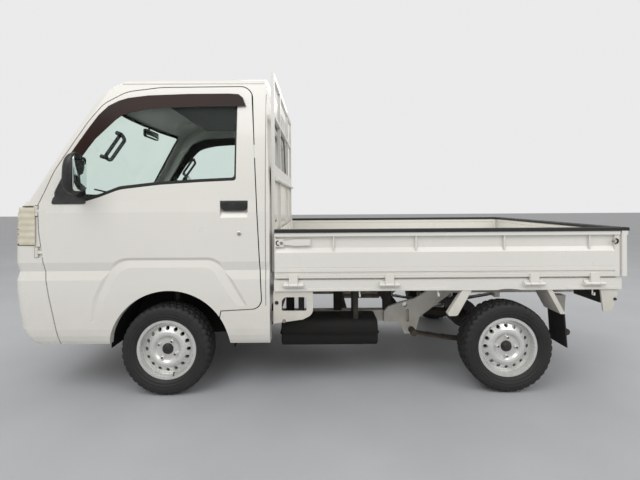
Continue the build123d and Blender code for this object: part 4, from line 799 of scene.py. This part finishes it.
# The hook as (toward the gate's end, height), from its eye round the bend and back.
HOOK = [(0.0, 0.858), (-0.012, 0.852), (-0.014, 0.838), (-0.006, 0.828), (0.006, 0.826), (0.006, 0.831),
        (-0.003, 0.834), (-0.008, 0.841), (-0.006, 0.849), (0.004, 0.853)]
SILL_BOLT = [(0.0, 0.010), (0.006, 0.009), (0.008, 0.004), (0.008, -0.006)]
STAMPED_RING = [(0.011, 0.0), (0.013, 0.0016), (0.015, 0.0)]
gate_face_y, hook_thickness, latch_pin_x, latch_pin_z, latch_pin_size = 0.733, 0.006, 0.018, 0.842, 0.006
leaf_inner_y, leaf_outer_y, leaf_low, leaf_high = 0.7165, 0.7245, 0.594, 0.628
bracket_x, ring_z, low_bolt_z = -0.208, 0.432, 0.408
for word, away in (("left", -1), ("right", 1)):
    body, face, outward = f"gate_{word}", away * gate_face_y, (0, away, 0)
    for end, x, way in (("front", -0.236, 1), ("rear", 1.624, -1)):
        hook = [(x + way * along, z) for along, z in HOOK]
        pressed_plate(f"{body}_latch_hook_{end}", hook, *sorted((face, face - away * hook_thickness)), "y",
                      rubber, body, edge=0.0008)
        bolt(f"{body}_latch_pin_{end}", (x + way * latch_pin_x, face - away * 0.0005, latch_pin_z), outward,
             latch_pin_size, zinc, body)
    for index, hinge_x in enumerate((-0.154, 0.374, 1.171, 1.504)):
        for half, leaf_left, leaf_right in (("a", -0.054, -0.004), ("b", 0.002, 0.052)):
            leaf = rectangle(hinge_x + leaf_left, leaf_low, hinge_x + leaf_right, leaf_high)
            pressed_plate(f"side_hinge_{word}_{index}_{half}", rounded(leaf, 0.006, 3),
                          *sorted((away * leaf_inner_y, away * leaf_outer_y)), "y", leaf_paint, "chassis",
                          edge=0.0025, rounds=3)
    for index, (bolt_x, bolt_z) in enumerate(((-0.249, 0.511), (1.632, 0.517))):
        turned(f"bracket_bolt_{word}_{index}", SILL_BOLT, (bolt_x, away * 0.706, bolt_z), outward, iron,
               "chassis", segments=18)
    turned(f"bracket_stamp_{word}", STAMPED_RING, (bracket_x, away * 0.708, ring_z), outward, chassis_paint,
           "chassis", segments=28)
    bolt(f"bracket_low_bolt_{word}", (bracket_x, away * 0.7085, low_bolt_z), outward, 0.007, zinc, "chassis")

# ---------------------------------------------------------------- tail lamps and rear plate
# Moulded black lamps hang under the rear beam, each with a clear, an amber and a red lens from inside out.
# A blank number plate of pressed aluminium is screwed to the rear beam between them.
red_lens = finish("red_lens", (0.42, 0.015, 0.012), (0.50, 0.02, 0.016), patch=12, rough=0.15,
                  rough_spread=0.05, coat=0.7)
amber_lens = finish("amber_lens", (0.75, 0.26, 0.02), (0.80, 0.30, 0.03), patch=12, rough=0.15, coat=0.7)
clear_lens = finish("clear_lens", (0.78, 0.77, 0.74), (0.72, 0.71, 0.68), patch=12, rough=0.12, coat=0.7)
coat_node(black_plastic, "tail_lamps")
lens_low, lens_high, lens_back, lens_face = 0.486, 0.560, 1.6555, 1.664
# Columns: inner edge, outer edge, material.
TAIL_LENSES = [(0.425, 0.475, clear_lens), (0.478, 0.545, amber_lens), (0.548, 0.635, red_lens)]
for word, away in (("left", -1), ("right", 1)):
    for index, (inner, outer, material) in enumerate(TAIL_LENSES):
        outline = rounded(rectangle(away * inner, lens_low, away * outer, lens_high), 0.008, 3)
        pressed_plate(f"tail_lens_{word}_{index}", outline, lens_back, lens_face, "x", material, "chassis",
                      edge=0.0025, rounds=3)
rear_plate_low, rear_plate_high, rear_plate_front, rear_plate_back = 0.455, 0.62, 1.6645, 1.667
rear_plate = rectangle(-plate_half_width, rear_plate_low, plate_half_width, rear_plate_high)
pressed_plate("rear_plate_blank", rounded(rear_plate, plate_corner), rear_plate_front, rear_plate_back, "x",
              plate_white, "chassis")

# ---------------------------------------------------------------- floor, light and camera
# A plain grey workshop floor under an even white sky, with broad soft lamps above and a wide lens.
# The sky lights the truck less brightly than it looks to the camera or through glass.
bpy.ops.mesh.primitive_plane_add(size=60, location=(0, 0, 0))
floor = bpy.context.object
floor.name = "studio_floor"
floor.data.materials.append(finish("studio_floor", (0.42, 0.43, 0.45), (0.46, 0.47, 0.49), patch=1.5,
                                   rough=0.65, rough_spread=0.05))
world = bpy.data.worlds.new("studio")
scene.world = world
world.use_nodes = True
sky_tree = world.node_tree
sky_link = sky_tree.links.new
sky = sky_tree.nodes["Background"]
set_inputs(sky, Color=(1.0, 0.99, 0.97, 1), Strength=0.68)
backdrop = sky_tree.nodes.new("ShaderNodeBackground")
set_inputs(backdrop, Color=(0.90, 0.90, 0.91, 1), Strength=0.92)
seen = sky_tree.nodes.new("ShaderNodeLightPath")
through = sky_tree.nodes.new("ShaderNodeMath")
through.operation = "ADD"
through.use_clamp = True
sky_link(seen.outputs["Is Camera Ray"], through.inputs[0])
sky_link(seen.outputs["Is Transmission Ray"], through.inputs[1])
choice = sky_tree.nodes.new("ShaderNodeMixShader")
sky_link(through.outputs["Value"], choice.inputs["Fac"])
sky_link(sky.outputs["Background"], choice.inputs[1])
sky_link(backdrop.outputs["Background"], choice.inputs[2])
sky_link(choice.outputs["Shader"], sky_tree.nodes["World Output"].inputs["Surface"])
# Columns: name, place, aim, size, power in watts.
LAMPS = [
    ("key_light", (-2.0, -3.6, 4.8), (-0.2, 0, 0.8), 3.6, 120),
    ("fill_light", (3.2, -3.6, 3.4), (0.5, 0, 0.7), 3.0, 62),
    ("back_light", (0.5, 4.2, 4.6), (0, 0, 0.9), 4.0, 110),
]
for name, lamp_place, aim, lamp_size, power in LAMPS:
    lamp = bpy.data.lights.new(name, "AREA")
    lamp.size = lamp_size
    lamp.energy = power
    holder = bpy.data.objects.new(name, lamp)
    holder.location = lamp_place
    holder.rotation_euler = (Vector(aim) - Vector(lamp_place)).to_track_quat("-Z", "Y").to_euler()
    scene.collection.objects.link(holder)
camera_data = bpy.data.cameras.new("camera")
camera_data.sensor_width = 36
camera_data.lens = 20.81
camera_data.shift_y = -0.0584
camera_pan, camera_roll = math.radians(-0.27), math.radians(-0.35)
camera = bpy.data.objects.new("camera", camera_data)
camera.location = (-0.015, -2.7585, 1.0629)
camera_turn = Matrix.Rotation(camera_pan, 4, "Z") @ Matrix.Rotation(math.radians(90), 4, "X")
camera.rotation_euler = (camera_turn @ Matrix.Rotation(camera_roll, 4, "Z")).to_euler()
scene.collection.objects.link(camera)
scene.camera = camera
scene.view_settings.view_transform = "Standard"
